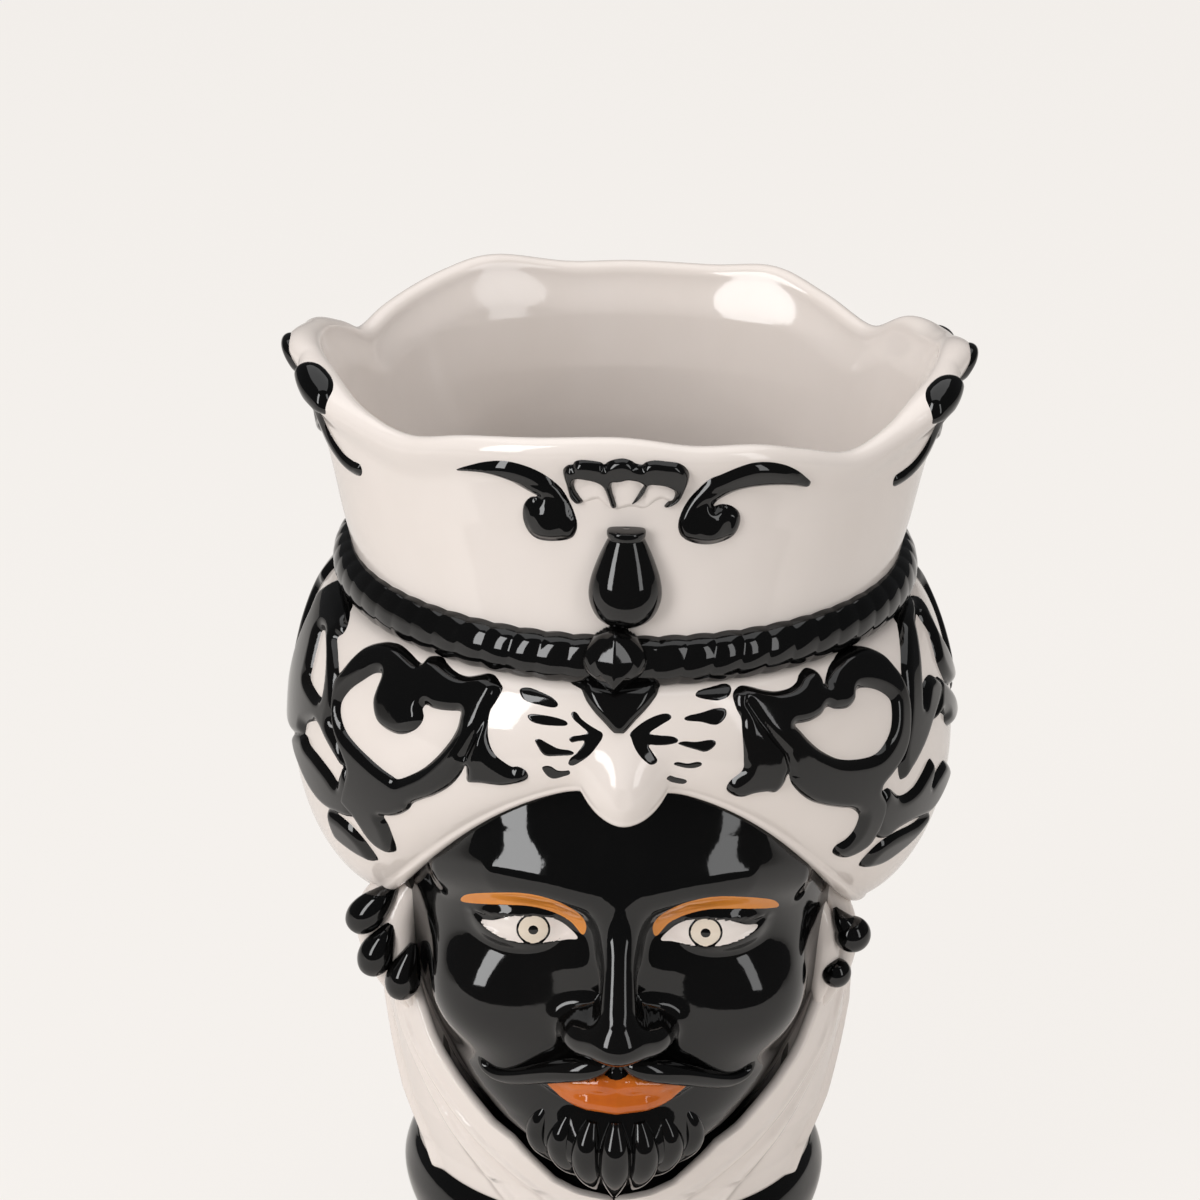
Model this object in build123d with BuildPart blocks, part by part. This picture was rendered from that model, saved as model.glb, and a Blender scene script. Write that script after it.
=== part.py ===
from build123d import *
from math import copysign, cos, hypot, pi, radians, sin
import os

# Face vase: a slip-cast earthenware head with a draped veil, a swelling turban and
# a scalloped crown for a mouth. Ornament is formed apart and luted on before firing.
# Millimetres, +Z up, the face towards -Y, the origin under the middle of the foot.

os.makedirs("parts", exist_ok=True)

# Heights, from the floor up
base_height = 34.0
collar_height = 24.0
neck_height = 26.0
veil_height = 92.0
turban_height = 108.0
band_height = 14.0
crown_height = 64.0
crown_rise = 14.0

# Walls, relief and cutting room
wall = 6.5
floor_thickness = 9.0
foot_recess = 3.0
foot_ring_width = 8.0
relief = 3.0
overrun = 20.0

# Radii and half widths of the turned and lofted forms
base_radius = 67.0
base_waist = 61.0
collar_radius = 66.0
collar_swell = 5.0
head_half_width = 70.5
face_depth = 86.0
nape_depth = 72.0
veil_half_width = 77.0
veil_nape_depth = 78.0
turban_seat_radius = 88.0
turban_belly = 107.0
turban_foot_radius = 76.0
brow_radius = 91.0
band_reach = 6.0
crown_half_width = 101.0
crown_half_depth = 87.0

# The turban swells most at its sides and draws in to an arch over the brow
belly_height = 58.0
brow_rise = 75.0
brow_half_angle = 90
brow_belly_lift = 32.0
brow_belly_loss = 8.0
brow_lip = 1.5
turban_core = 40.0
turban_step_angle = 30
outline_steps = 2

# Levels that follow from the heights
veil_level = base_height + collar_height
chin_level = veil_level + neck_height
turban_level = veil_level + veil_height
band_level = turban_level + turban_height
crown_level = band_level + band_height
rim_level = crown_level + crown_height
top_level = rim_level + crown_rise


def egg(half_width, front, back, count, power):
    """Points round a plan with two depths, fuller than an ellipse below a power of 1."""
    turns = [2 * pi * step / count for step in range(count)]
    return [
        (
            half_width * copysign(abs(sin(turn)) ** power, sin(turn)),
            -(front if cos(turn) > 0 else back) * copysign(abs(cos(turn)) ** power, cos(turn)),
        )
        for turn in turns
    ]


def plan_loft(sections, grown=0.0, count=16, power=1.0):
    """A solid through level plans: level, half width, front depth, back depth."""
    with BuildPart() as form:
        for level, half_width, front, back in sections:
            plan = egg(half_width + grown, front + grown, back + grown, count, power)
            with BuildSketch(Plane.XY.offset(level)):
                with BuildLine():
                    Spline(*plan, periodic=True)
                make_face()
        loft()
    return form.part


head_power = 0.85
head_shares = (
    (0.00, 0.70, 0.90, 0.76),
    (0.09, 0.80, 0.955, 0.84),
    (0.22, 0.935, 0.955, 0.92),
    (0.38, 1.00, 0.955, 0.97),
    (0.54, 1.03, 0.975, 1.00),
    (0.70, 1.07, 1.02, 1.05),
    (1.00, 1.14, 0.98, 1.10),
)


def head_sections():
    """Level plans of the head, in shares of its height, half width and depths."""
    return [
        (
            chin_level + height * (band_level - chin_level),
            width * head_half_width,
            front * face_depth,
            back * nape_depth,
        )
        for height, width, front, back in head_shares
    ]


veil_shares = (
    (0.00, 0.855, 0.855, 0.85),
    (0.25, 0.930, 0.930, 0.94),
    (0.55, 0.990, 0.990, 1.00),
    (0.80, 1.000, 1.000, 1.00),
    (1.00, 0.995, 0.995, 0.98),
)


def veil_sections():
    """Level plans of the veil, in shares of its height, half width and depths."""
    return [
        (
            veil_level + height * (turban_level + brow_lip - veil_level),
            width * veil_half_width,
            front * veil_half_width,
            back * veil_nape_depth,
        )
        for height, width, front, back in veil_shares
    ]


crown_shares = (
    (0.00, 0.00, 0.0),
    (0.18, 0.25, 2.0),
    (0.40, 0.50, 3.5),
    (0.62, 0.75, 3.0),
    (0.82, 1.00, 1.0),
    (1.00, 1.10, -1.0),
)


def crown_sections():
    """Level plans of the crown, in shares of its height, half width and depth."""
    return [
        (
            crown_level + height * (top_level - crown_level),
            turban_seat_radius + width * (crown_half_width - turban_seat_radius),
            turban_seat_radius + depth * (crown_half_depth - turban_seat_radius),
            turban_seat_radius + depth * (crown_half_depth - turban_seat_radius),
        )
        for height, width, depth in crown_shares
    ]


def brow_share(azimuth):
    """How far the turban's lower edge has risen at an azimuth: 1 over the brow."""
    if abs(azimuth) >= brow_half_angle:
        return 0.0
    return (1 + cos(pi * azimuth / brow_half_angle)) / 2


def turban_foot(azimuth):
    """Radius and height of the turban's lower edge at an azimuth."""
    lift = brow_share(azimuth)
    radius = turban_foot_radius + lift * (brow_radius - turban_foot_radius)
    return radius, turban_level + lift * brow_rise


def turban_outline(azimuth, grown):
    """Radius and height down the turban's swelling side at one azimuth."""
    lift = brow_share(azimuth)
    foot_radius, foot = turban_foot(azimuth)
    belly = turban_belly - lift * brow_belly_loss
    middle = turban_level + belly_height + lift * brow_belly_lift
    upper = [pi / 2 * (1 - step / outline_steps) for step in range(outline_steps)]
    lower = [pi / 2 * step / outline_steps for step in range(outline_steps + 1)]
    return [
        (
            turban_seat_radius + (belly - turban_seat_radius) * cos(turn) + grown,
            middle + (band_level - middle) * sin(turn),
        )
        for turn in upper
    ] + [
        (
            foot_radius + (belly - foot_radius) * cos(turn) + grown,
            middle - (middle - foot) * sin(turn),
        )
        for turn in lower
    ]


def turban_loft(grown, past):
    """The turban filled in to its core, pushed out by an amount and run past its ends."""
    with BuildPart() as form:
        for azimuth in range(0, 180 + turban_step_angle, turban_step_angle):
            turn = radians(azimuth)
            points = turban_outline(azimuth, grown)
            upright = Plane(
                origin=(0, 0, 0),
                x_dir=(sin(turn), -cos(turn), 0),
                z_dir=(-cos(turn), -sin(turn), 0),
            )
            with BuildSketch(upright):
                with BuildLine():
                    Spline(*points)
                    Polyline(
                        points[-1],
                        (points[-1][0], points[-1][1] - past),
                        (turban_core - past, points[-1][1] - past),
                        (turban_core - past, band_level + past),
                        (points[0][0], band_level + past),
                        points[0],
                    )
                make_face()
        loft()
        mirror(about=Plane.YZ)
    return form.part


def outward(azimuth):
    """The upright plane through the axis that faces an azimuth, 0 at the face."""
    turn = radians(azimuth)
    return Plane(
        origin=(0, 0, 0),
        x_dir=(cos(turn), sin(turn), 0),
        z_dir=(sin(turn), -cos(turn), 0),
    )


# The opening in the wrappings that the face fills: the turban's arch above, and the
# veil's edge below, at shares of the veil's height and of the head's half width
face_edge_shares = ((0.76, 0.94), (0.61, 0.87), (0.48, 0.76), (0.35, 0.60), (0.22, 0.37))
arch_azimuths = range(-75, 76, 15)
arch_width_share = 0.9
arch_points = [
    (arch_width_share * radius * sin(radians(azimuth)), level + brow_lip)
    for azimuth in arch_azimuths
    for radius, level in [turban_foot(azimuth)]
]
with BuildPart() as opening:
    with BuildSketch(Plane.XZ):
        with BuildLine():
            Spline(*arch_points)
            Spline(
                arch_points[-1],
                *[
                    (width * head_half_width, veil_level + height * veil_height)
                    for width, height in face_edge_shares
                ],
                (0, veil_level + wall),
                *[
                    (-width * head_half_width, veil_level + height * veil_height)
                    for width, height in face_edge_shares[::-1]
                ],
                arch_points[0],
            )
        make_face()
    extrude(amount=turban_belly + overrun)

head_form = plan_loft(head_sections(), power=head_power)
head_hollow = plan_loft(head_sections(), grown=-wall, power=head_power)
veil_form = plan_loft(veil_sections())
veil_hollow = plan_loft(veil_sections(), grown=-wall)
crown_form = plan_loft(crown_sections())
crown_hollow = plan_loft(crown_sections(), grown=-wall)
turban_form = turban_loft(0, past=wall / 2)
turban_hollow = turban_loft(-wall, past=wall)

pieces = []


def finish(piece, name):
    """Name a finished piece and keep it for export."""
    piece.part.label = name
    pieces.append(piece.part)


# The foot: a flared base with a closed floor, standing on an unglazed ring
waist_height_share = 0.6
with BuildPart() as foot_base:
    with BuildSketch(Plane.XZ):
        with BuildLine():
            Polyline(
                (0, foot_recess),
                (base_radius - foot_ring_width, foot_recess),
                (base_radius - foot_ring_width, 0),
                (base_radius, 0),
            )
            ThreePointArc(
                (base_radius, 0),
                (base_waist, base_height * waist_height_share),
                (collar_radius, base_height),
            )
            Polyline(
                (collar_radius, base_height),
                (collar_radius - wall, base_height),
                (base_waist - wall, floor_thickness),
                (0, floor_thickness),
                (0, foot_recess),
            )
        make_face()
    revolve(axis=Axis.Z)
finish(foot_base, "foot_base")

# The collar: a swelling band between the base and the veil
with BuildPart() as collar:
    with BuildSketch(Plane.XZ):
        with BuildLine():
            ThreePointArc(
                (collar_radius, base_height),
                (collar_radius + collar_swell, base_height + collar_height / 2),
                (collar_radius, veil_level),
            )
            Polyline(
                (collar_radius, veil_level),
                (collar_radius - 2 * wall, veil_level),
                (collar_radius - 2 * wall, veil_level - wall),
                (collar_radius - wall, base_height),
                (collar_radius, base_height),
            )
        make_face()
    revolve(axis=Axis.Z)
finish(collar, "collar")

# The neck stands on the collar inside the veil and carries the jaw
neck_hollow = plan_loft(veil_sections(), grown=-2 * wall)
with BuildPart() as neck:
    add(veil_hollow)
    split(bisect_by=Plane.XY.offset(chin_level), keep=Keep.BOTTOM)
    add(neck_hollow, mode=Mode.SUBTRACT)
finish(neck, "neck")

# The veil: the cloth that falls from under the turban and closes below the chin
with BuildPart() as veil:
    add(veil_form)
    add(opening.part, mode=Mode.SUBTRACT)
    add(veil_hollow, mode=Mode.SUBTRACT)
finish(veil, "veil")

# The turban
with BuildPart() as turban:
    add(turban_form)
    add(opening.part, mode=Mode.SUBTRACT)
    add(turban_hollow, mode=Mode.SUBTRACT)
    split(bisect_by=Plane.XY.offset(turban_level + brow_lip), keep=Keep.TOP)
    split(bisect_by=Plane.XY.offset(band_level), keep=Keep.BOTTOM)
finish(turban, "turban")

# The face fills the opening that the wrappings leave. Its features keep to the usual
# divisions of a head, as shares of the height from chin to band
eye_height_share = 0.49
nose_shares = (
    (0.270, 0.90, 0.45),
    (0.310, 1.20, 0.98),
    (0.370, 0.72, 0.88),
    (0.440, 0.48, 0.58),
    (0.530, 0.42, 0.30),
)
mouth_height_share = 0.190
nose_half_width = 14.0
nose_depth = 24.0
nose_root_depth = 80.0
mouth_half_width = 25.0
lip_height = 8.0
lip_peak_share = 0.75
lip_dip_share = 0.6
lip_depth = 87.0
eye_radius = 13.0
eye_spread = 27.0
eye_depth = 66.0
socket_radius = 24.0
socket_depth = 98.5
head_height = band_level - chin_level

with BuildPart() as nose:
    for height, width, depth in nose_shares:
        with BuildSketch(Plane.XY.offset(chin_level + height * head_height)):
            with Locations((0, -nose_root_depth)):
                Ellipse(width * nose_half_width, depth * nose_depth)
    loft()

mouth_level = chin_level + mouth_height_share * head_height
with BuildPart() as lips:
    with BuildSketch(Plane.XZ.offset(nose_root_depth - wall)):
        with BuildLine(Location((0, mouth_level))):
            ThreePointArc(
                (-mouth_half_width, 0),
                (0, -lip_height),
                (mouth_half_width, 0),
            )
            ThreePointArc(
                (mouth_half_width, 0),
                (mouth_half_width / 2, lip_height * lip_peak_share),
                (0, lip_height * lip_dip_share),
            )
            ThreePointArc(
                (0, lip_height * lip_dip_share),
                (-mouth_half_width / 2, lip_height * lip_peak_share),
                (-mouth_half_width, 0),
            )
        make_face()
    extrude(amount=lip_depth - nose_root_depth + wall)
    chamfer(lips.faces().sort_by(Axis.Y)[0].edges(), relief / 2)

eye_level = chin_level + eye_height_share * head_height
with BuildPart() as face_form:
    add(head_form)
    with Locations(*[(side * eye_spread, -socket_depth, eye_level) for side in (-1, 1)]):
        Sphere(socket_radius, mode=Mode.SUBTRACT)
    with Locations(*[(side * eye_spread, -eye_depth, eye_level) for side in (-1, 1)]):
        Sphere(eye_radius)
    add(nose.part)
    add(lips.part)
with BuildPart() as face:
    add(face_form.part)
    add(opening.part, mode=Mode.INTERSECT)
    add(head_hollow, mode=Mode.SUBTRACT)
finish(face, "face")

# The crown: pinched out at its two sides, with a waved rim rounded over
rim_wave_shares = (
    (-1.20, 1.00),
    (-1.00, 0.70),
    (-0.86, 0.00),
    (-0.69, -0.50),
    (-0.44, 0.10),
    (-0.22, -0.22),
    (0.00, 0.15),
)
rim_points = [
    (width * crown_half_width, rim_level + height * crown_rise)
    for width, height in rim_wave_shares
]
rim_points += [(-across, level) for across, level in rim_points[-2::-1]]
with BuildPart() as crown:
    add(crown_form)
    add(crown_hollow, mode=Mode.SUBTRACT)
    with BuildSketch(Plane.XZ):
        with BuildLine():
            Spline(*rim_points)
            Polyline(
                rim_points[-1],
                (rim_points[-1][0], top_level + overrun),
                (rim_points[0][0], top_level + overrun),
                rim_points[0],
            )
        make_face()
    extrude(amount=crown_half_width + overrun, both=True, mode=Mode.SUBTRACT)
finish(crown, "crown")

# The band between turban and crown: a twisted rope
rope_twists = 64
rope_groove = 1.4
rope_lean = 35
band_profile_shares = ((0.0, 0.0), (0.8, 0.1), (1.0, 0.35), (1.0, 0.65), (0.8, 0.9), (0.0, 1.0))
with BuildPart() as crown_band:
    with BuildSketch(Plane.XZ):
        with BuildLine():
            Polyline(
                (turban_seat_radius - wall, band_level),
                *[
                    (turban_seat_radius + reach * band_reach, band_level + up * band_height)
                    for reach, up in band_profile_shares
                ],
                (turban_seat_radius - wall, crown_level),
                close=True,
            )
        make_face()
    revolve(axis=Axis.Z)
    with Locations((0, 0, (band_level + crown_level) / 2)):
        with PolarLocations(turban_seat_radius + band_reach, rope_twists):
            Box(
                2 * rope_groove,
                rope_groove,
                2 * band_height,
                rotation=(rope_lean, 0, 0),
                mode=Mode.SUBTRACT,
            )
finish(crown_band, "crown_band")


def ribbon(points):
    """A closed outline down both sides of a centre line: across, up, half width."""
    left = []
    right = []
    for step, (across, up, half_width) in enumerate(points):
        before = points[max(step - 1, 0)]
        after = points[min(step + 1, len(points) - 1)]
        run = after[0] - before[0]
        climb = after[1] - before[1]
        length = hypot(run, climb)
        left.append((across - climb / length * half_width, up + run / length * half_width))
        right.append((across + climb / length * half_width, up - run / length * half_width))
    with BuildSketch() as outline:
        with BuildLine():
            Spline(*left)
            Line(left[-1], right[-1])
            Spline(*right[::-1])
            Line(right[0], left[0])
        make_face()
    return outline.sketch


def relief_piece(strokes, dots, azimuth, outer_form, carrier, cutters=()):
    """Clay laid on a carrier: brush-like strokes and round dots seen from an azimuth."""
    shapes = [ribbon(stroke) for stroke in strokes]
    with BuildPart() as piece:
        with BuildSketch(outward(azimuth).offset(turban_core + overrun)):
            for shape in shapes:
                add(shape)
            for across, up, radius in dots:
                with Locations((across, up)):
                    Circle(radius)
        extrude(amount=turban_belly - turban_core)
        add(outer_form, mode=Mode.INTERSECT)
        add(carrier, mode=Mode.SUBTRACT)
        for cutter in cutters:
            add(cutter, mode=Mode.SUBTRACT)
    return piece


def sized(shares, width, height, middle, side=1):
    """Stroke points from shares of a width and a height about a middle level."""
    return [
        (side * across * width, middle + up * height, breadth * width)
        for across, up, breadth in shares
    ]


curl_relief = 7.5
turban_relief = turban_loft(relief, past=wall / 2)
crown_relief = plan_loft(crown_sections(), grown=relief)
crown_curl_relief = plan_loft(crown_sections(), grown=curl_relief)

# The turban's arabesques: three pairs of the same scroll, front, side and back
arabesque_width = 80.0
arabesque_height = 66.0
arabesque_level_share = 0.72
arabesque_level = turban_level + arabesque_level_share * turban_height
arabesque_azimuths = (("front", 40), ("side", 96), ("back", 140))
arabesque_shares = (
    (
        (-0.43, 0.30, 0.020),
        (-0.22, 0.34, 0.050),
        (0.00, 0.33, 0.050),
        (0.22, 0.31, 0.060),
        (0.39, 0.15, 0.060),
        (0.43, -0.02, 0.055),
        (0.35, -0.17, 0.055),
        (0.17, -0.27, 0.065),
        (-0.01, -0.19, 0.060),
        (-0.17, -0.06, 0.065),
        (-0.31, 0.06, 0.060),
    ),
    (
        (-0.36, 0.30, 0.040),
        (-0.385, 0.16, 0.030),
        (-0.38, 0.05, 0.040),
        (-0.46, -0.03, 0.020),
    ),
    (
        (0.19, 0.28, 0.040),
        (0.13, 0.14, 0.055),
        (0.05, 0.10, 0.065),
    ),
    (
        (0.06, -0.30, 0.030),
        (0.19, -0.46, 0.045),
        (0.36, -0.50, 0.015),
    ),
)
arabesque_dot_shares = ((0.02, 0.14, 0.07),)
for place, azimuth in arabesque_azimuths:
    for side, hand in ((-1, "left"), (1, "right")):
        scroll = relief_piece(
            [
                sized(shares, arabesque_width, arabesque_height, arabesque_level, side)
                for shares in arabesque_shares
            ],
            sized(
                arabesque_dot_shares,
                arabesque_width,
                arabesque_height,
                arabesque_level,
                side,
            ),
            side * azimuth,
            turban_relief,
            turban_form,
        )
        finish(scroll, f"turban_scroll_{place}_{hand}")

# The crown's front ornament: two comma scrolls, a palmette and a hanging drop
comma_width = 36.0
comma_level_share = 0.62
comma_level = crown_level + comma_level_share * crown_height
comma_shares = (
    (1.42, 0.20, 0.020),
    (1.20, 0.28, 0.060),
    (0.95, 0.31, 0.085),
    (0.72, 0.24, 0.110),
    (0.58, 0.06, 0.125),
    (0.56, -0.12, 0.125),
)
comma_dot_shares = ((0.66, -0.10, 0.18),)
for side, hand in ((-1, "left"), (1, "right")):
    comma = relief_piece(
        [sized(comma_shares, comma_width, comma_width, comma_level, side)],
        sized(comma_dot_shares, comma_width, comma_width, comma_level, side),
        0,
        crown_relief,
        crown_form,
    )
    finish(comma, f"crown_scroll_{hand}")

palmette_width = 38.0
palmette_level_share = 0.80
palmette_level = crown_level + palmette_level_share * crown_height
palmette_bar_shares = (
    (-0.50, 0.04, 0.040),
    (-0.33, 0.16, 0.065),
    (0.00, 0.20, 0.085),
    (0.33, 0.16, 0.065),
    (0.50, 0.04, 0.040),
)
palmette_finger_shares = tuple(
    ((0.9 * foot, 0.14, 0.050), (foot, 0.0, 0.045), (tip, -0.22, 0.020))
    for foot, tip in ((-0.42, -0.34), (-0.15, -0.12), (0.15, 0.12), (0.42, 0.34))
)
palmette = relief_piece(
    [
        sized(shares, palmette_width, palmette_width, palmette_level)
        for shares in (palmette_bar_shares,) + palmette_finger_shares
    ],
    (),
    0,
    crown_relief,
    crown_form,
)
finish(palmette, "crown_palmette")

# The corner curls: three lobes fan round each pinched side of the crown
curl_size = 24.0
curl_level_share = 0.84
curl_shares = (
    (0.00, 0.10, 0.28),
    (0.02, -0.20, 0.26),
    (-0.10, -0.70, 0.14),
    (-0.45, -1.35, 0.03),
)
curl_dot_shares = ((0.0, 0.16, 0.30),)
curl_place_shares = (("front", 66, -0.15), ("middle", 87, 0.05), ("back", 108, 0.2))
for place, azimuth, lift in curl_place_shares:
    curl_level = crown_level + curl_level_share * crown_height + lift * curl_size
    for side, hand in ((-1, "left"), (1, "right")):
        curl = relief_piece(
            [sized(curl_shares, curl_size, curl_size, curl_level, side)],
            sized(curl_dot_shares, curl_size, curl_size, curl_level),
            side * azimuth,
            crown_curl_relief,
            crown_form,
        )
        finish(curl, f"corner_curl_{place}_{hand}")


def hanging_drop(shares, radius, height, level, set_back):
    """A drop turned about an upright line at a depth in front of the vase's axis."""
    with BuildPart() as drop:
        with BuildSketch(Plane.XZ.offset(set_back)):
            with BuildLine():
                Polyline(
                    *[(across * radius, level + up * height) for across, up in shares],
                    (0, level + height),
                    (0, level),
                    close=True,
                )
            make_face()
        revolve(axis=Axis((0, -set_back, 0), (0, 0, 1)))
    return drop.part


# The drop that hangs below the palmette: half a pear, with the small cap above it
drop_radius = 11.0
drop_height = 32.0
drop_level_share = 0.055
drop_level = crown_level + drop_level_share * crown_height
drop_set_back = turban_seat_radius - relief
drop_shares = (
    (0.45, 0.00),
    (0.95, 0.16),
    (1.00, 0.34),
    (0.78, 0.62),
    (0.50, 0.86),
    (0.42, 1.00),
)
with BuildPart() as crown_drop:
    add(hanging_drop(drop_shares, drop_radius, drop_height, drop_level, drop_set_back))
    add(crown_form, mode=Mode.SUBTRACT)
finish(crown_drop, "crown_drop")

# The jewel that ties the rope band, and the pendant that hangs from it on the turban
jewel_half_width = 10.0
jewel_height = 21.0
jewel_level_share = 0.65
jewel_level = band_level + jewel_level_share * band_height
jewel_chamfer = 3.9
jewel_reach = turban_seat_radius + band_reach + 2 * relief
with BuildPart() as band_jewel:
    with BuildSketch(Plane.XZ.offset(turban_seat_radius - wall)):
        with Locations((0, jewel_level)):
            Ellipse(jewel_half_width, jewel_height / 2)
    extrude(amount=jewel_reach - turban_seat_radius + wall)
    chamfer(band_jewel.faces().sort_by(Axis.Y)[0].edges(), jewel_chamfer)
    add(crown_form, mode=Mode.SUBTRACT)
    add(crown_band.part, mode=Mode.SUBTRACT)
    add(turban_form, mode=Mode.SUBTRACT)
    add(crown_drop.part, mode=Mode.SUBTRACT)
finish(band_jewel, "band_jewel")

pendant_half_width = 12.5
pendant_height = 15.0
pendant_side_share = 0.45
pendant_drop_share = 0.62
with BuildPart() as band_pendant:
    with BuildSketch(Plane.XZ.offset(turban_seat_radius - wall)):
        with BuildLine():
            Line((-pendant_half_width, band_level), (pendant_half_width, band_level))
            ThreePointArc(
                (pendant_half_width, band_level),
                (
                    pendant_side_share * pendant_half_width,
                    band_level - pendant_drop_share * pendant_height,
                ),
                (0, band_level - pendant_height),
            )
            ThreePointArc(
                (0, band_level - pendant_height),
                (
                    -pendant_side_share * pendant_half_width,
                    band_level - pendant_drop_share * pendant_height,
                ),
                (-pendant_half_width, band_level),
            )
        make_face()
    extrude(amount=jewel_reach - turban_seat_radius + wall)
    add(turban_form, mode=Mode.SUBTRACT)
    add(band_jewel.part, mode=Mode.SUBTRACT)
finish(band_pendant, "band_pendant")

# The fold of the turban that hangs over the brow like a drop
fold_radius = 12.5
fold_height = 32.0
fold_fall = 8.0
fold_tip_level = turban_level + brow_rise - fold_fall
fold_set_back = brow_radius + relief
fold_shares = (
    (0.35, 0.00),
    (0.80, 0.10),
    (1.00, 0.30),
    (0.80, 0.55),
    (0.45, 0.85),
    (0.15, 1.00),
)
with BuildPart() as brow_fold:
    add(hanging_drop(fold_shares, fold_radius, fold_height, fold_tip_level, fold_set_back))
    add(turban_form, mode=Mode.SUBTRACT)
    add(turban_hollow, mode=Mode.SUBTRACT)
    add(head_form, mode=Mode.SUBTRACT)
    add(band_pendant.part, mode=Mode.SUBTRACT)
finish(brow_fold, "brow_fold")

# Ears on the edge of the veil, and three drops that hang from each
ear_height = 34.0
ear_depth = 20.0
ear_reach = veil_half_width + 2 * relief
ear_level_share = 0.52
ear_middle = turban_level - ear_level_share * ear_height
ear_forward = -14.0
drop_ball = 5.6
drop_place_shares = (
    (1.00, 0.10, 0.30, 1.00),
    (1.00, 0.00, -0.20, 1.00),
    (0.95, -0.18, -0.57, 0.85),
)
for side, hand in ((-1, "left"), (1, "right")):
    with BuildPart() as ear:
        with BuildSketch(Plane.YZ.offset(side * (veil_half_width - wall))):
            with Locations((ear_forward, ear_middle)):
                Ellipse(ear_depth / 2, ear_height / 2)
        extrude(amount=side * (ear_reach - veil_half_width + wall))
        add(veil_form, mode=Mode.SUBTRACT)
        add(turban_form, mode=Mode.SUBTRACT)
    finish(ear, f"ear_{hand}")
    with BuildPart() as drops:
        for out, forward, up, size in drop_place_shares:
            with Locations(
                (
                    side * out * ear_reach,
                    ear_forward + forward * ear_depth,
                    ear_middle + up * ear_height,
                )
            ):
                Sphere(size * drop_ball)
        add(ear.part, mode=Mode.SUBTRACT)
        add(veil_form, mode=Mode.SUBTRACT)
        add(turban_form, mode=Mode.SUBTRACT)
    finish(drops, f"earring_drops_{hand}")

# The moustache with curled ends and the lobed beard lie on the lip and the chin
moustache_half_width = 34.0
moustache_lift = 11.2
moustache_level = mouth_level + moustache_lift
hair_thickness = 4.8
moustache_shares = (
    (0.00, -0.04, 0.090),
    (0.25, -0.03, 0.100),
    (0.55, -0.20, 0.085),
    (0.80, -0.30, 0.065),
    (0.98, -0.18, 0.045),
    (0.98, 0.02, 0.030),
)
hair_relief = plan_loft(head_sections(), grown=hair_thickness, power=head_power)
moustache = relief_piece(
    [
        sized(
            moustache_shares,
            moustache_half_width,
            moustache_half_width,
            moustache_level,
            side,
        )
        for side in (-1, 1)
    ],
    (),
    0,
    hair_relief,
    face_form.part,
)
finish(moustache, "moustache")

beard_width = 46.0
beard_fall = 26.0
beard_gap = 15.2
beard_level = mouth_level - beard_gap
beard_lobe_shares = (-0.36, -0.19, 0.0, 0.19, 0.36)
beard_stroke_shares = ((0.55, 0.00, 0.10), (1.00, -0.45, 0.13), (1.10, -0.95, 0.07))
beard_form_shares = (
    (-1.08, 0.60, 0.84, 0.64),
    (-0.58, 0.76, 0.97, 0.81),
    (0.00, 0.88, 1.02, 0.83),
    (0.77, 0.98, 1.02, 0.83),
)
beard_form = plan_loft(
    [
        (
            beard_level + height * beard_fall,
            width * head_half_width,
            front * face_depth,
            back * nape_depth,
        )
        for height, width, front, back in beard_form_shares
    ],
    power=head_power,
)
beard = relief_piece(
    [
        [
            (
                spread * lobe * beard_width,
                beard_level + up * beard_fall,
                breadth * beard_width,
            )
            for spread, up, breadth in beard_stroke_shares
        ]
        for lobe in beard_lobe_shares
    ],
    (),
    0,
    beard_form,
    face_form.part,
    (veil_hollow,),
)
finish(beard, "beard")

for piece in pieces:
    print(piece.label, len(piece.solids()), round(piece.volume), piece.is_valid)
    export_step(piece, f"parts/{piece.label}.step")
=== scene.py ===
from math import cos, degrees, pi, radians, sin

import bmesh
import bpy
import numpy as np
from mathutils import Matrix, Vector
from mathutils.bvhtree import BVHTree


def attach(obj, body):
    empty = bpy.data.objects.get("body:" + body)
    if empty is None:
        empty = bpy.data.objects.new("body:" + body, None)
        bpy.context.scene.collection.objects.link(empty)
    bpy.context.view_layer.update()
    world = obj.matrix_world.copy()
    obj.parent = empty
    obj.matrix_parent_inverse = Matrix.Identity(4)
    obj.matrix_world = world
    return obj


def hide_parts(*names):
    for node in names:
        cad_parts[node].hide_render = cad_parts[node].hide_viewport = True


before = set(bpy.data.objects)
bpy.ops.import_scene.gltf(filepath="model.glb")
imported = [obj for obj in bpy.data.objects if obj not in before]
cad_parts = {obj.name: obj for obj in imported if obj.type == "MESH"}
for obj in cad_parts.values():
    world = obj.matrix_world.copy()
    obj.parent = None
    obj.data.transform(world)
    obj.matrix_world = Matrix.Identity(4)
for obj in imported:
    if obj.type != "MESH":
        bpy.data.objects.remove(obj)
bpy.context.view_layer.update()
MM = 0.001

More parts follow.
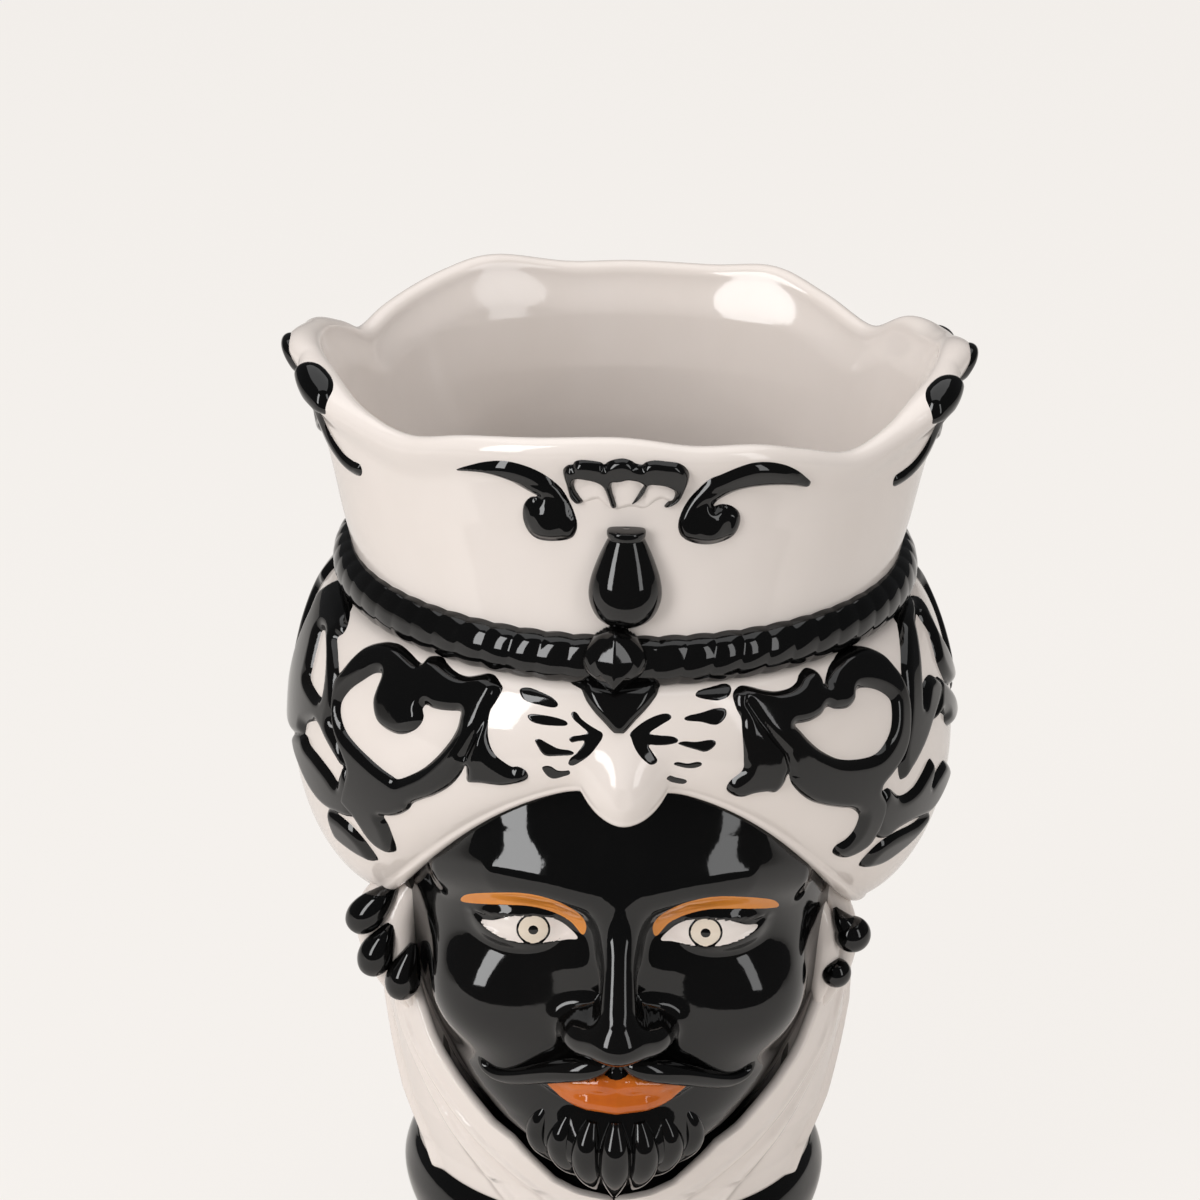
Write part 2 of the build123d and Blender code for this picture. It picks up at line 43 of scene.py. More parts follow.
# The camera looks down on the face from the front with a long lens, as the photograph
# does, leaning a degree to one side.
aimed_at = (-7.9, 0, 249)
view_height = radians(22)
view_distance = 1.45
lean = radians(1.0)
long_lens = 134.7
film = 36
bpy.ops.object.select_all(action="DESELECT")
bpy.ops.object.camera_add()
camera = bpy.context.object
camera.name = "camera"
camera.data.lens = long_lens
camera.data.sensor_width = film
camera.data.sensor_height = film
camera.data.sensor_fit = "HORIZONTAL"
camera.data.clip_end = 20
aim = Vector(aimed_at) * MM
back = Vector((0, -cos(view_height), sin(view_height)))
upright = Vector((0, sin(view_height), cos(view_height)))
across = Vector((1, 0, 0))
camera_x = across * cos(lean) + upright * sin(lean)
camera_y = upright * cos(lean) - across * sin(lean)
camera.matrix_world = Matrix.Translation(aim + back * view_distance) @ Matrix(
    (camera_x, camera_y, back)
).transposed().to_4x4()
bpy.context.scene.camera = camera
bpy.context.scene.view_settings.view_transform = "Standard"

# The studio: a wide pale table top under a dark room, with two tall soft boxes in front
# of the vase, the left one the brighter. A weak sheet of light hangs overhead, and a
# plain fill from all round softens the shadows without showing in the gloss.
class Wire:
    """A shader value that takes part in sums."""

    def __init__(self, maker, socket):
        self.maker = maker
        self.socket = socket

    def __add__(self, other):
        return self.maker.sum("ADD", self, other)

    def __sub__(self, other):
        return self.maker.sum("SUBTRACT", self, other)

    def __rsub__(self, other):
        return self.maker.sum("SUBTRACT", other, self)

    def __mul__(self, other):
        return self.maker.sum("MULTIPLY", self, other)

    __radd__ = __add__
    __rmul__ = __mul__


class Finish:
    """The shader of a material or of the world under construction."""

    def __init__(self, owner):
        owner.use_nodes = True
        self.tree = owner.node_tree
        self.tree.nodes.clear()

    def node(self, kind, output=0, settings=None, **values):
        made = self.tree.nodes.new("ShaderNode" + kind)
        for key, value in (settings or {}).items():
            setattr(made, key, value)
        for key, value in values.items():
            index = int(key[1:]) if key[1:].isdigit() else key.replace("_", " ")
            target = made.inputs[index]
            if isinstance(value, Wire):
                self.tree.links.new(value.socket, target)
            else:
                target.default_value = value
        if made.outputs:
            return Wire(self, made.outputs[output])

    def sum(self, operation, first, second):
        return self.node("Math", settings={"operation": operation}, i0=first, i1=second)

    def mix(self, share, first, second):
        settings = {"data_type": "RGBA"}
        return self.node("Mix", 2, settings, i0=share, i6=first, i7=second)

    def clamp(self, value):
        return self.node("Clamp", Value=value)

    def noise(self, place, scale, detail):
        return self.node("TexNoise", Vector=place, Scale=scale, Detail=detail)


table_colour = (0.888, 0.856, 0.823, 1)
shadow_kept = 0.10
fill_light = 0.40
gloss_light = 0.07
bpy.ops.mesh.primitive_plane_add(size=2, location=(0, 0, 0))
table = bpy.context.object
table.name = "table_top"
table.scale = (6, 5, 1)
table.location = (0, 4.55, 0)
bpy.ops.object.transform_apply(location=True, scale=True)
table_paint = bpy.data.materials.new("table_paint")
paint = Finish(table_paint)
seen = paint.node("Emission", Color=table_colour, Strength=1.045)
lit = paint.node("BsdfDiffuse", Color=table_colour)
share = paint.node("LightPath", "Is Camera Ray") * (1 - shadow_kept)
paint.node("OutputMaterial", Surface=paint.node("MixShader", i0=share, i1=lit, i2=seen))
table.data.materials.append(table_paint)

room = bpy.data.worlds.new("room")
bpy.context.scene.world = room
air = Finish(room)
seen = air.node("Background", Color=table_colour, Strength=1.0)
dim = air.node("Background", Color=(0.95, 0.97, 1.0, 1), Strength=gloss_light)
soft = air.node("Background", Color=(1.0, 0.99, 0.98, 1), Strength=fill_light)
spill = air.node("MixShader", i0=air.node("LightPath", "Is Diffuse Ray"), i1=dim, i2=soft)
by_camera = air.node("LightPath", "Is Camera Ray")
air.node("OutputWorld", Surface=air.node("MixShader", i0=by_camera, i1=spill, i2=seen))


def soft_box(name, place, wide, high, watts, target=(0, 0, 0.22)):
    bpy.ops.object.light_add(type="AREA", location=place)
    box = bpy.context.object
    box.name = name
    box.data.shape = "RECTANGLE"
    box.data.size = wide
    box.data.size_y = high
    box.data.energy = watts
    aimed = (Vector(place) - Vector(target)).to_track_quat("Z", "Y")
    box.rotation_euler = aimed.to_euler()


# name, place, width and height in metres, and watts
soft_box("soft_box_left", (-1.02, -1.12, 0.84), 0.42, 1.40, 13.6)
soft_box("soft_box_right", (1.10, -1.15, 0.84), 0.34, 1.40, 4.6)
soft_box("sheet_above", (0.0, 0.2, 2.2), 2.6, 2.2, 21)


# The glaze is a glossy, slightly wavy coat, white all over or brushed black. It drifts in
# tone where it pooled, and its surface has the faint pull of a fired glaze.
def glaze(name, colour, pooled, roughness, wave=0.00022, drift=14.0):
    """A fired glaze: its colour, the tone where it pooled, its gloss and its waves."""
    material = bpy.data.materials.new(name)
    finish = Finish(material)
    place = finish.node("TexCoord", "Object")
    cloud = finish.noise(place, drift, 3.0)
    pooling = finish.clamp((cloud - 0.42) * 3.2)
    streak = finish.noise(finish.node("Mapping", Vector=place, Scale=(1, 1, 0.25)), 120.0, 2.0)
    pooling = finish.clamp(pooling * 0.75 + (streak - 0.5) * 0.5)
    tone = finish.mix(pooling, (*colour, 1), (*pooled, 1))
    slow = finish.noise(place, 38.0, 1.0)
    fine = finish.noise(place, 420.0, 1.0)
    relief = finish.node("Bump", Strength=0.6, Distance=wave, Height=slow + fine * 0.08)
    smooth = finish.node(
        "BsdfPrincipled",
        Base_Color=tone,
        Roughness=pooling * 0.04 + roughness,
        IOR=1.52,
        Normal=relief,
    )
    finish.node("OutputMaterial", Surface=smooth)
    return material


white_glaze = glaze("white_glaze", (0.84, 0.765, 0.715), (0.80, 0.722, 0.665), 0.07)
black_glaze = glaze(
    "black_glaze", (0.0022, 0.0022, 0.0022), (0.0045, 0.0040, 0.0038), 0.045, 0.00030
)


def dressed(piece, material, slot, *nodes):
    """Finish a piece: glaze, smooth shading, body; hide the nodes it stands for. Slot is unused."""
    piece.data.materials.clear()
    piece.data.materials.append(material)
    for polygon in piece.data.polygons:
        polygon.use_smooth = True
    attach(piece, "root")
    if nodes:
        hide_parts(*nodes)
    return piece


# The foot is a flared base of white-glazed clay on a ring, closed by the floor of the
# well. It is turned: a circle is drawn up and in or out, ring by ring.
def turned(name, profile, turns=160):
    """A turned form from radius and height pairs in millimetres, going round once."""
    bpy.ops.object.select_all(action="DESELECT")
    radius, height = profile[0]
    bpy.ops.mesh.primitive_circle_add(
        vertices=turns, radius=radius * MM, location=(0, 0, height * MM)
    )
    piece = bpy.context.object
    piece.name = name
    bpy.ops.object.transform_apply(location=True)
    bpy.ops.object.mode_set(mode="EDIT")
    bpy.ops.mesh.select_all(action="SELECT")
    for wider, higher in profile[1:] + profile[:1]:
        bpy.ops.mesh.extrude_edges_move(
            TRANSFORM_OT_translate={"value": (0, 0, (higher - height) * MM)}
        )
        share = wider / radius
        bpy.ops.transform.resize(
            value=(share, share, 1), center_override=(0, 0, higher * MM)
        )
        radius, height = wider, higher
    bpy.ops.mesh.select_all(action="SELECT")
    bpy.ops.mesh.remove_doubles(threshold=0.000002)
    bpy.ops.mesh.normals_make_consistent(inside=False)
    bpy.ops.object.mode_set(mode="OBJECT")
    return piece


def between(p0, p1, p2, p3, t):
    """A smooth curve from p1 to p2, when p0 comes before and p3 after."""
    return 0.5 * (
        2 * p1
        + (p2 - p0) * t
        + (2 * p0 - 5 * p1 + 4 * p2 - p3) * t**2
        + (3 * p1 - p0 - 3 * p2 + p3) * t**3
    )


def rounded(points, steps=6):
    """Pairs of numbers with a smooth curve run through them."""
    line = np.array(points, float)
    ends = np.vstack([2 * line[0] - line[1], line, 2 * line[-1] - line[-2]])
    t = (np.arange(steps) / steps)[:, None]
    curve = [between(*ends[k : k + 4], t) for k in range(len(line) - 1)]
    return [(float(r), float(z)) for r, z in np.vstack(curve + [line[-1]])]


foot_under = [(0.4, 3.0), (58.2, 3.0), (59.0, 2.4), (59.2, 0.6), (59.8, 0.0), (65.2, 0.0)]
foot_side = rounded(
    [(66.2, 1.2), (66.9, 4), (64.6, 11), (61.4, 19.5), (62.0, 27), (64.6, 32.4), (63.8, 34.6)]
)
foot_inside = [(59.5, 34.6), (58.8, 30), (55.5, 13), (52, 9.6), (48, 9.0), (0.4, 9.0)]
foot = turned("foot", foot_under + foot_side + foot_inside)
dressed(foot, white_glaze, "white_glaze", "foot_base")

# The collar is a swelling ring of black-glazed clay between the foot and the veil, with a
# soft roll along both of its edges. It is turned like the foot and luted on it.
collar_line = rounded(
    [(64.6, 33.6), (66.8, 34.6), (68.9, 38.5), (70.4, 44), (70.6, 49), (68.9, 54.5), (66.2, 58.2)]
)
collar = turned("collar", collar_line + [(60, 58.6), (54, 57.5), (54, 52), (59, 34.8)])
dressed(collar, black_glaze, "black_glaze", "collar")

# The shells are cast: each is one wall that goes up outside, over its lip and down
# inside. A grid is bent to that loop, because a casting this free has no other start.
def grid_through(name, columns, rows, spots):
    """A grid laid through millimetre spots, column by column, and the order it has them in."""
    bpy.ops.object.select_all(action="DESELECT")
    bpy.ops.mesh.primitive_grid_add(x_subdivisions=columns, y_subdivisions=rows, size=2)
    piece = bpy.context.object
    piece.name = name
    flat = np.empty(len(piece.data.vertices) * 3)
    piece.data.vertices.foreach_get("co", flat)
    flat = flat.reshape(-1, 3)
    column = np.round((flat[:, 0] + 1) / 2 * columns).astype(int)
    row = np.round((flat[:, 1] + 1) / 2 * rows).astype(int)
    order = column * (rows + 1) + row
    piece.data.vertices.foreach_set("co", (spots[order] * MM).ravel())
    piece.data.update()
    return piece, order


def bent(name, columns, rows, place):
    """A shell bent by place(across, along), both from 0 to 1, and joined where it meets."""
    u, v = np.meshgrid(np.arange(columns + 1) / columns, np.arange(rows + 1) / rows, indexing="ij")
    spots = np.stack(place(u.ravel(), v.ravel()), axis=1)
    piece, _ = grid_through(name, columns, rows, spots)
    bpy.ops.object.mode_set(mode="EDIT")
    bpy.ops.mesh.select_all(action="SELECT")
    bpy.ops.mesh.remove_doubles(threshold=0.000004)
    bpy.ops.mesh.normals_make_consistent(inside=False)
    bpy.ops.object.mode_set(mode="OBJECT")
    return piece


def eased(value, low, high):
    """0 below low, 1 above high and smooth between."""
    t = np.clip((value - low) / (high - low), 0, 1)
    return t * t * (3 - 2 * t)


def round_place(turn, radius, height):
    """Millimetre coordinates from degrees round the axis, 0 at the face."""
    angle = np.radians(turn)
    return radius * np.sin(angle), -radius * np.cos(angle), height


def oval(turn, wide, deep):
    """Radius of an oval at a turn, from its half width and half depth."""
    angle = np.radians(turn)
    return 1 / np.sqrt((np.sin(angle) / wide) ** 2 + (np.cos(angle) / deep) ** 2)


# The veil is the cloth that falls from under the turban behind the ears and closes
# below the chin: a thin cast wall of white clay with soft folds drawn down to the throat.
veil_foot, veil_top = 57.5, 152.5
veil_wall = 4.2
veil_mean = 74
veil_levels = [57.5, 66, 81, 109, 132, 152.5]
veil_side = [66.2, 67.4, 71.6, 76.0, 76.9, 76.6]
veil_front = [66.0, 67.2, 71.4, 75.8, 76.6, 76.4]
veil_back = [66.4, 68.0, 73.4, 77.6, 78.0, 76.8]
edge_levels = [57, 66, 68, 72, 86, 90, 102, 114, 128, 151]
edge_turns = [0, 2, 11, 18, 29, 35, 46, 55, 62.5, 65]
# turn and level where a fold starts and ends, how far it stands out and how wide it is
folds = [
    (84, 30, 152, 60, 1.7, 3.6),
    (68, 13, 122, 60, 1.2, 3.2),
    (100, 62, 150, 58, 1.8, 4.6),
    (122, 96, 150, 58, 1.4, 5.5),
    (146, 130, 150, 58, 1.5, 6.0),
    (172, 166, 150, 58, 1.2, 6.5),
]


def veil_radius(turn, height):
    side = np.interp(height, veil_levels, veil_side)
    front = np.interp(height, veil_levels, veil_front)
    behind = np.interp(height, veil_levels, veil_back)
    plain = oval(turn, side, np.where(np.cos(np.radians(turn)) > 0, front, behind))
    stands_out = 0
    for top_turn, foot_turn, top, foot, rise, width in folds:
        fall = np.clip((top - height) / (top - foot), 0, 1)
        centre = top_turn + (foot_turn - top_turn) * fall**1.35
        off = (np.abs(turn) - centre) * plain * pi / 180
        slope = np.where(off > 0, width, 0.55 * width)
        ridge = np.exp(-((off / slope) ** 2))
        stands_out = stands_out + rise * ridge * eased(fall, 0.0, 0.18)
    return plain + stands_out


def veil_place(u, v):
    """Round the outside from edge to edge, over the edge, back inside and over again."""
    height = veil_foot + (veil_top - veil_foot) * v
    edge = np.interp(height, edge_levels, edge_turns)
    lip = 0.02
    outside = u < 0.5 - lip
    inside = (u > 0.5 + lip) & (u < 1 - lip)
    far_edge = (u >= 0.5 - lip) & (u <= 0.5 + lip)
    near_edge = u >= 1 - lip
    outward = u / (0.5 - lip)
    homeward = (u - 0.5 - lip) / (0.5 - 2 * lip)
    far_bend = pi * np.clip((u - 0.5 + lip) / (2 * lip), 0, 1)
    near_bend = pi * np.clip((u - 1 + lip) / lip, 0, 1)
    span = 360 - 2 * edge
    round_off = degrees(veil_wall / 2 / veil_mean)
    turn = np.where(outside, edge + span * outward, 0)
    turn = np.where(inside, 360 - edge - span * homeward, turn)
    turn = np.where(far_edge, 360 - edge + round_off * np.sin(far_bend), turn)
    turn = np.where(near_edge, edge - round_off * np.sin(near_bend), turn)
    depth = np.where(outside, 0, veil_wall)
    depth = np.where(far_edge, veil_wall * (1 - np.cos(far_bend)) / 2, depth)
    depth = np.where(near_edge, veil_wall * (1 + np.cos(near_bend)) / 2, depth)
    closing = (v < 0.004) | (v > 0.996)
    depth = np.where(closing, veil_wall / 2, depth)
    signed = np.where(turn > 180, turn - 360, turn)
    return round_place(turn, veil_radius(signed, height) - depth, height)


veil = bent("veil_cloth", 640, 120, veil_place)
dressed(veil, white_glaze, "white_glaze", "veil")


# The turban is one swelling cast shell of white clay, drawn in above the face to an arch
# with a soft roll along its edge. The fold over the brow is pressed out of the same wall.
turban_top = 258
turban_wall = 6.5
turban_widest = 106.2
arch_foot, arch_rise = 150, 75
brow_droop = 9.6
fold_turn = 0.3
fold_rise = 9.0


def arch_lift(turn):
    """How far the arch is up, 1 over the brow and 0 behind the ears."""
    near = np.clip(np.abs(turn), 0, 90)
    return ((1 + np.cos(np.radians(2 * near))) / 2) ** 1.15


def arch_level(turn):
    """The turban's lower edge, which droops in its middle with the fold."""
    droop = np.clip(1 - ((turn - fold_turn) / 7.9) ** 2, 0, 1) ** 0.85
    return arch_foot + arch_rise * arch_lift(turn) - brow_droop * droop


def swell(turn, height, foot, fullness):
    """The round of the turban between the rope above and its foot."""
    lift = arch_lift(turn)
    neck_radius = 88
    foot_radius = 76 + 15 * lift
    belly = 107 - 8 * lift
    middle = 208 + 32 * lift
    above = np.clip((height - middle) / (turban_top - middle), 0, 1)
    below = np.clip((middle - height) / (middle - foot), 0, 0.985)
    upper = neck_radius + (belly - neck_radius) * np.sqrt(1 - above**2)
    lower = foot_radius + (belly - foot_radius) * (1 - below**2) ** fullness
    return np.where(height >= middle, upper, lower)


def turban_radius(turn, height):
    plain = swell(turn, height, arch_level(turn), 0.64)
    half_width = np.interp(height, [214, 222, 250], [7.6, 7.2, 4.2])
    fold = np.exp(-((np.abs(turn - fold_turn) / half_width) ** 2.6))
    fold = fold_rise * fold * eased(250 - height, 0, 28)
    crest = np.exp(-((turn / 2.2) ** 2)) * eased(246 - height, 0, 16)
    limit = turban_widest + 1.5 * np.abs(np.sin(np.radians(turn)))
    return np.minimum(plain + fold + crest, limit)


def rolled(v, roll_start, roll_end):
    """Which spots of a wall lie before and in the roll of its edge, and how far along."""
    before = v < roll_start
    within = (v >= roll_start) & (v <= roll_end)
    first = np.clip(v / roll_start, 0, 1)
    bend = np.clip((v - roll_start) / (roll_end - roll_start), 0, 1) * pi
    second = np.clip((v - roll_end) / (1 - roll_end), 0, 1)
    return before, within, first, bend, second


def turban_place(u, v):
    """Down the outside, round the roll of the edge and up the inside."""
    # half of the columns go to the front quarter, where the small marks are
    turn = 360 * (u - 0.5) - 68 * np.sin(2 * pi * (u - 0.5)) / (2 * pi) * 0.86
    roll_start, roll_end = 0.46, 0.56
    soft = 2.6
    edge = arch_level(turn)
    tall = turban_top - edge - soft
    outside, roll, down, bend, up = rolled(v, roll_start, roll_end)
    height = np.where(outside, turban_top - tall * down, 0)
    height = np.where(roll, edge + soft - soft * np.sin(bend), height)
    height = np.where(v > roll_end, edge + soft + tall * up, height)
    base = turban_radius(turn, np.maximum(height, edge + soft))
    depth = np.where(outside, 0, turban_wall)
    depth = np.where(roll, turban_wall * (1 - np.cos(bend)) / 2, depth)
    return round_place(turn, base - depth, height)


turban = bent("turban_shell", 620, 150, turban_place)
dressed(turban, white_glaze, "white_glaze", "turban", "brow_fold")

# The crown is a tall cast wall of white clay, wider than it is deep, whose rim waves and
# rolls outwards. At its two sides the clay is pinched up and out into three lobes.
crown_foot = 271.0
crown_wall = 6.5
roll_start, roll_end = 0.42, 0.54
lip = 4.2
crown_heights = [272, 286, 303, 320.4, 336, 350]
crown_wide = [88, 91.5, 95.0, 98.2, 101.5, 103.0]
crown_deep = [88, 86.6, 85.4, 85.6, 87.4, 89.0]
# turn and level of the rim where it rises, falls and rises again
rim_wave = [
    (-180, 336.5), (-166, 336.5), (-150, 340.5), (-139, 338), (-124, 331.5), (-115, 327),
    (-108, 332), (-98, 338), (-84, 340), (-73, 338), (-62, 330.5), (-48, 327), (-34, 331.5),
    (-20, 334), (-2, 336), (13, 333), (26, 332), (36, 328.5), (48, 324), (59, 328), (70, 336),
    (84, 341), (96, 338), (104, 335.5), (113, 334.5), (123, 327), (136, 333), (148, 338.5),
    (162, 336.5), (180, 336.5),
]
# turn and share of each of the three lobes
crown_lobes = [(69, 0.8), (87, 0.56), (105, 0.5)]
way_at_rim = pi / 180 * 90
rim_line = np.array(rounded([(turn * way_at_rim, level) for turn, level in rim_wave], 8))


def wave(turn):
    """The rim's level at a turn."""
    return np.interp(turn, rim_line[:, 0] / way_at_rim, rim_line[:, 1])


def lobes(turn):
    """How far the pinched sides stand out at a turn, as a share of the bulge."""
    near = np.abs(turn)
    shares = [size * np.exp(-(((near - centre) / 8.0) ** 2)) for centre, size in crown_lobes]
    return np.max(shares, axis=0)


def crown_radius(turn, height):
    wide = np.interp(height, crown_heights, crown_wide)
    deep = np.interp(height, crown_heights, crown_deep)
    return oval(turn, wide, deep)


def crown_outside(turn, height):
    flare = 2.8 * eased(height - wave(turn), -15, -4)
    bulge = 6.0 * lobes(turn) * eased(height, 300, 334)
    pinch = 0.5 * np.exp(-(((np.abs(turn) - 86) / 26) ** 2)) * eased(height, 290, 330)
    return crown_radius(turn, height) + flare + bulge + pinch


def crown_place(u, v):
    """Up the outside, over the lip and down the inside."""
    turn = 360 * (u - 0.5)
    rim = wave(turn) + 1.2 * lobes(turn)
    tall = rim - lip - crown_foot
    outside, roll, rise, bend, fall = rolled(v, roll_start, roll_end)
    height = np.where(outside, crown_foot + tall * rise, 0)
    height = np.where(roll, rim - lip + lip * np.sin(bend), height)
    height = np.where(v > roll_end, rim - lip - tall * fall, height)
    outer = crown_outside(turn, np.minimum(height, rim - lip))
    inner = crown_radius(turn, np.minimum(height, rim - lip)) - crown_wall
    inner = inner + 2.2 * eased(height - rim, -16, -3) - 5.5 * eased(rim - 4 - height, 0, 64)
    mix = np.where(outside, 0, 1)
    mix = np.where(roll, (1 - np.cos(bend)) / 2, mix)
    return round_place(turn, outer * (1 - mix) + inner * mix, height)


crown = bent("crown_wall", 560, 150, crown_place)
dressed(crown, white_glaze, "white_glaze", "crown")

# The rope is a round cord of clay laid over the seam between turban and crown, rolled
# with slanting nicks and brushed black.
rope_level = 265
rope_nicks = 64


def rope_place(u, v):
    turn = 360 * (u - 0.5)
    loop = 2 * pi * v
    reach = np.clip(np.sin(loop), -0.2, 1)
    nick = np.abs(np.sin((rope_nicks * np.radians(turn) + 1.1 * np.cos(loop)) / 2))
    nick = nick * (0.3 + 0.7 * np.exp(-((turn / 50) ** 2)))
    radius = 87.6 + (6.1 + 0.5 * nick) * reach
    return round_place(turn, radius, rope_level - (7.6 + 0.6 * nick) * np.cos(loop))


rope = bent("rope_band", 1280, 28, rope_place)
dressed(rope, black_glaze, "black_glaze", "crown_band")

# The relief is luted on: pads of clay pressed to the shell and brushed black. A pad has a
# nearly level top and a rounded edge that goes on into the shell, which closes it.
def looped(points, steps=6):
    """A closed smooth line through points."""
    line = np.array(points, float)
    t = (np.arange(steps) / steps)[:, None]
    count = len(line)
    return np.vstack(
        [between(*(line[(k + n) % count] for n in (-1, 0, 1, 2)), t) for k in range(count)]
    )


def depth_inside(spots, line):
    """Signed distance of spots from a closed line, positive inside."""
    nearest = np.full(len(spots), 1e9)
    inside = np.zeros(len(spots), bool)
    for start, end in zip(line, np.roll(line, -1, axis=0)):
        way = end - start
        off = spots - start
        share = np.clip(off @ way / max(way @ way, 1e-9), 0, 1)
        nearest = np.minimum(nearest, np.sum((off - share[:, None] * way) ** 2, axis=1))
        crosses = (start[1] > spots[:, 1]) != (end[1] > spots[:, 1])
        if abs(way[1]) > 1e-12:
            reach = start[0] + (spots[:, 1] - start[1]) * way[0] / way[1]
            inside ^= crosses & (spots[:, 0] < reach)
    return np.where(inside, 1, -1) * np.sqrt(nearest)


def laid(name, outlines, surface, rise, edge, pitch=0.6, holes=(), extra=None, grown=0.0):
    """A pad on surface(x, y), with its outlines given in the same millimetres.

    It stands out by rise within edge of its outline. Holes are cut out of it, extra adds
    to its height, and grown makes it wider all round.
    """
    deepest = -1.6
    lines = [looped(outline) for outline in outlines]
    every = np.vstack(lines)
    low = every.min(axis=0) - 2 * pitch
    high = every.max(axis=0) + 2 * pitch
    count = np.ceil((high - low) / pitch).astype(int)
    across = np.linspace(low[0], high[0], count[0] + 1)
    upwards = np.linspace(low[1], high[1], count[1] + 1)
    x, y = np.meshgrid(across, upwards, indexing="ij")
    spots = np.stack((x.ravel(), y.ravel()), axis=1)
    depth = np.max([depth_inside(spots, line) for line in lines], axis=0)
    for hole in holes:
        depth = np.minimum(depth, -depth_inside(spots, looped(hole)))
    depth = depth + grown
    share = np.minimum(depth / edge, 1)
    height = rise * (1 - (1 - share) ** 2)
    height = np.where(depth < 0, 2 * rise * depth / edge, height)
    height = np.maximum(height, deepest)
    if extra is not None:
        height = height + extra(x.ravel(), y.ravel(), depth)
    base = np.stack(surface(x, y), axis=-1)
    right = np.gradient(base, axis=0)
    upright = np.gradient(base, axis=1)
    normal = np.cross(right, upright)
    normal = normal / np.maximum(np.linalg.norm(normal, axis=-1, keepdims=True), 1e-9)
    base = base.reshape(-1, 3) + normal.reshape(-1, 3) * height[:, None]
    piece, order = grid_through(name, count[0], count[1], base)
    keep = depth[order] > -1.3 * pitch
    work = bmesh.new()
    work.from_mesh(piece.data)
    work.verts.ensure_lookup_table()
    spare = [v for v in work.verts if not keep[v.index]]
    bmesh.ops.delete(work, geom=spare, context="VERTS")
    work.to_mesh(piece.data)
    work.free()
    piece.data.update()
    return piece


# millimetres of way for each degree on the shell
TURN = radians(1) * 95


def on_turban(x, y):
    return round_place(x / TURN, turban_radius(x / TURN, y), y)


def on_crown(x, y):
    return round_place(x / TURN, crown_outside(x / TURN, y), y)


def spread(outline, mirror_at=None, moved=0.0):
    """Outline points from degrees and levels to millimetres on the shell."""
    if mirror_at is None:
        return [((turn + moved) * TURN, level) for turn, level in outline]
    return [((2 * mirror_at - turn + moved) * TURN, level) for turn, level in outline]


# An arabesque is a branching leaf of clay with a heart-shaped opening, luted on at each
# side of the brow and brushed black. The two differ, as each was made by hand. The back
# is out of the picture and repeats them. Their points are read off enlargements.
picture = 1200


def plain_turban(turn, level):
    """The turban without its fold and its droop, on which marks are read."""
    return swell(turn, level, arch_foot + arch_rise * arch_lift(turn), 0.5)


def read_off(points, window, form, out):
    """Turns and levels of pixels in an enlarged window of the photograph.

    The window is its left and top pixel and its zoom. A point goes along the camera's ray
    to where it is first within out millimetres of form(turn, level).
    """
    left, top, zoom = window
    x, y = np.array(points, float).T
    x, y = left + x / zoom - picture / 2, top + y / zoom - picture / 2
    x, y = x * cos(lean) + y * sin(lean), y * cos(lean) - x * sin(lean)
    lens = long_lens / film * picture
    towards = np.array((0, -cos(view_height), sin(view_height)))
    upright = np.array((0, sin(view_height), cos(view_height)))
    way = -towards + np.outer(x / lens, (1, 0, 0)) - np.outer(y / lens, upright)
    way = way / np.linalg.norm(way, axis=1)[:, None]
    # millimetres from the camera, from before the head to past its middle
    reach = np.linspace(1180, 1620, 4401)[:, None]
    spots = np.array(aimed_at) + towards * (view_distance / MM) + reach * way[:, None]
    turn, level = np.degrees(np.arctan2(spots[..., 0], -spots[..., 1])), spots[..., 2]
    gap = np.hypot(spots[..., 0], spots[..., 1]) - form(turn, level) - out
    first, nearest = (gap <= 0).argmax(axis=1), np.abs(gap).argmin(axis=1)
    met = np.where((gap <= 0).any(axis=1), first, nearest)[:, None]
    found = np.hstack([np.take_along_axis(each, met, axis=1) for each in (turn, level)])
    return [(round(float(t), 1), round(float(z), 1)) for t, z in found]


left_of_brow, right_of_brow = (270, 520, 4.125), (600, 520, 4.126)
scroll_left = [
    (250, 655), (285, 610), (330, 560), (380, 525), (440, 510), (490, 515), (530, 535),
    (565, 565), (590, 590), (605, 600), (620, 590), (635, 572), (665, 570), (695, 580),
    (710, 600), (735, 625), (765, 645), (800, 655), (845, 650), (885, 642), (915, 655),
    (935, 680), (947, 705), (935, 735), (915, 765), (895, 800), (885, 850), (885, 900),
    (895, 945), (915, 980), (945, 1005), (985, 1030), (1010, 1030), (1040, 1045), (1055, 1070),
    (1040, 1090), (1000, 1102), (940, 1108), (860, 1100), (797, 1093), (794, 1060), (790, 1025),
    (770, 1060), (740, 1095), (700, 1125), (650, 1150), (600, 1165), (565, 1180), (545, 1205),
    (510, 1225), (475, 1232), (440, 1232), (455, 1270), (470, 1320), (480, 1360), (475, 1382),
    (440, 1375), (395, 1345), (360, 1305), (335, 1260), (315, 1225), (290, 1195), (262, 1150),
    (270, 1100), (292, 1030), (280, 985), (258, 930), (240, 870), (232, 800), (235, 720),
]
heart_left = [
    (775, 797), (740, 793), (700, 790), (660, 782), (632, 768), (618, 785), (622, 815),
    (612, 845), (585, 872), (545, 888), (505, 886), (460, 865), (430, 835), (415, 790),
    (415, 740), (430, 690), (448, 650), (438, 636), (410, 640), (370, 665), (320, 700),
    (285, 745), (275, 785), (280, 830), (300, 880), (340, 930), (390, 980), (440, 1025),
    (490, 1062), (515, 1075), (560, 1060), (620, 1030), (680, 980), (730, 920), (760, 870),
    (773, 825),
]
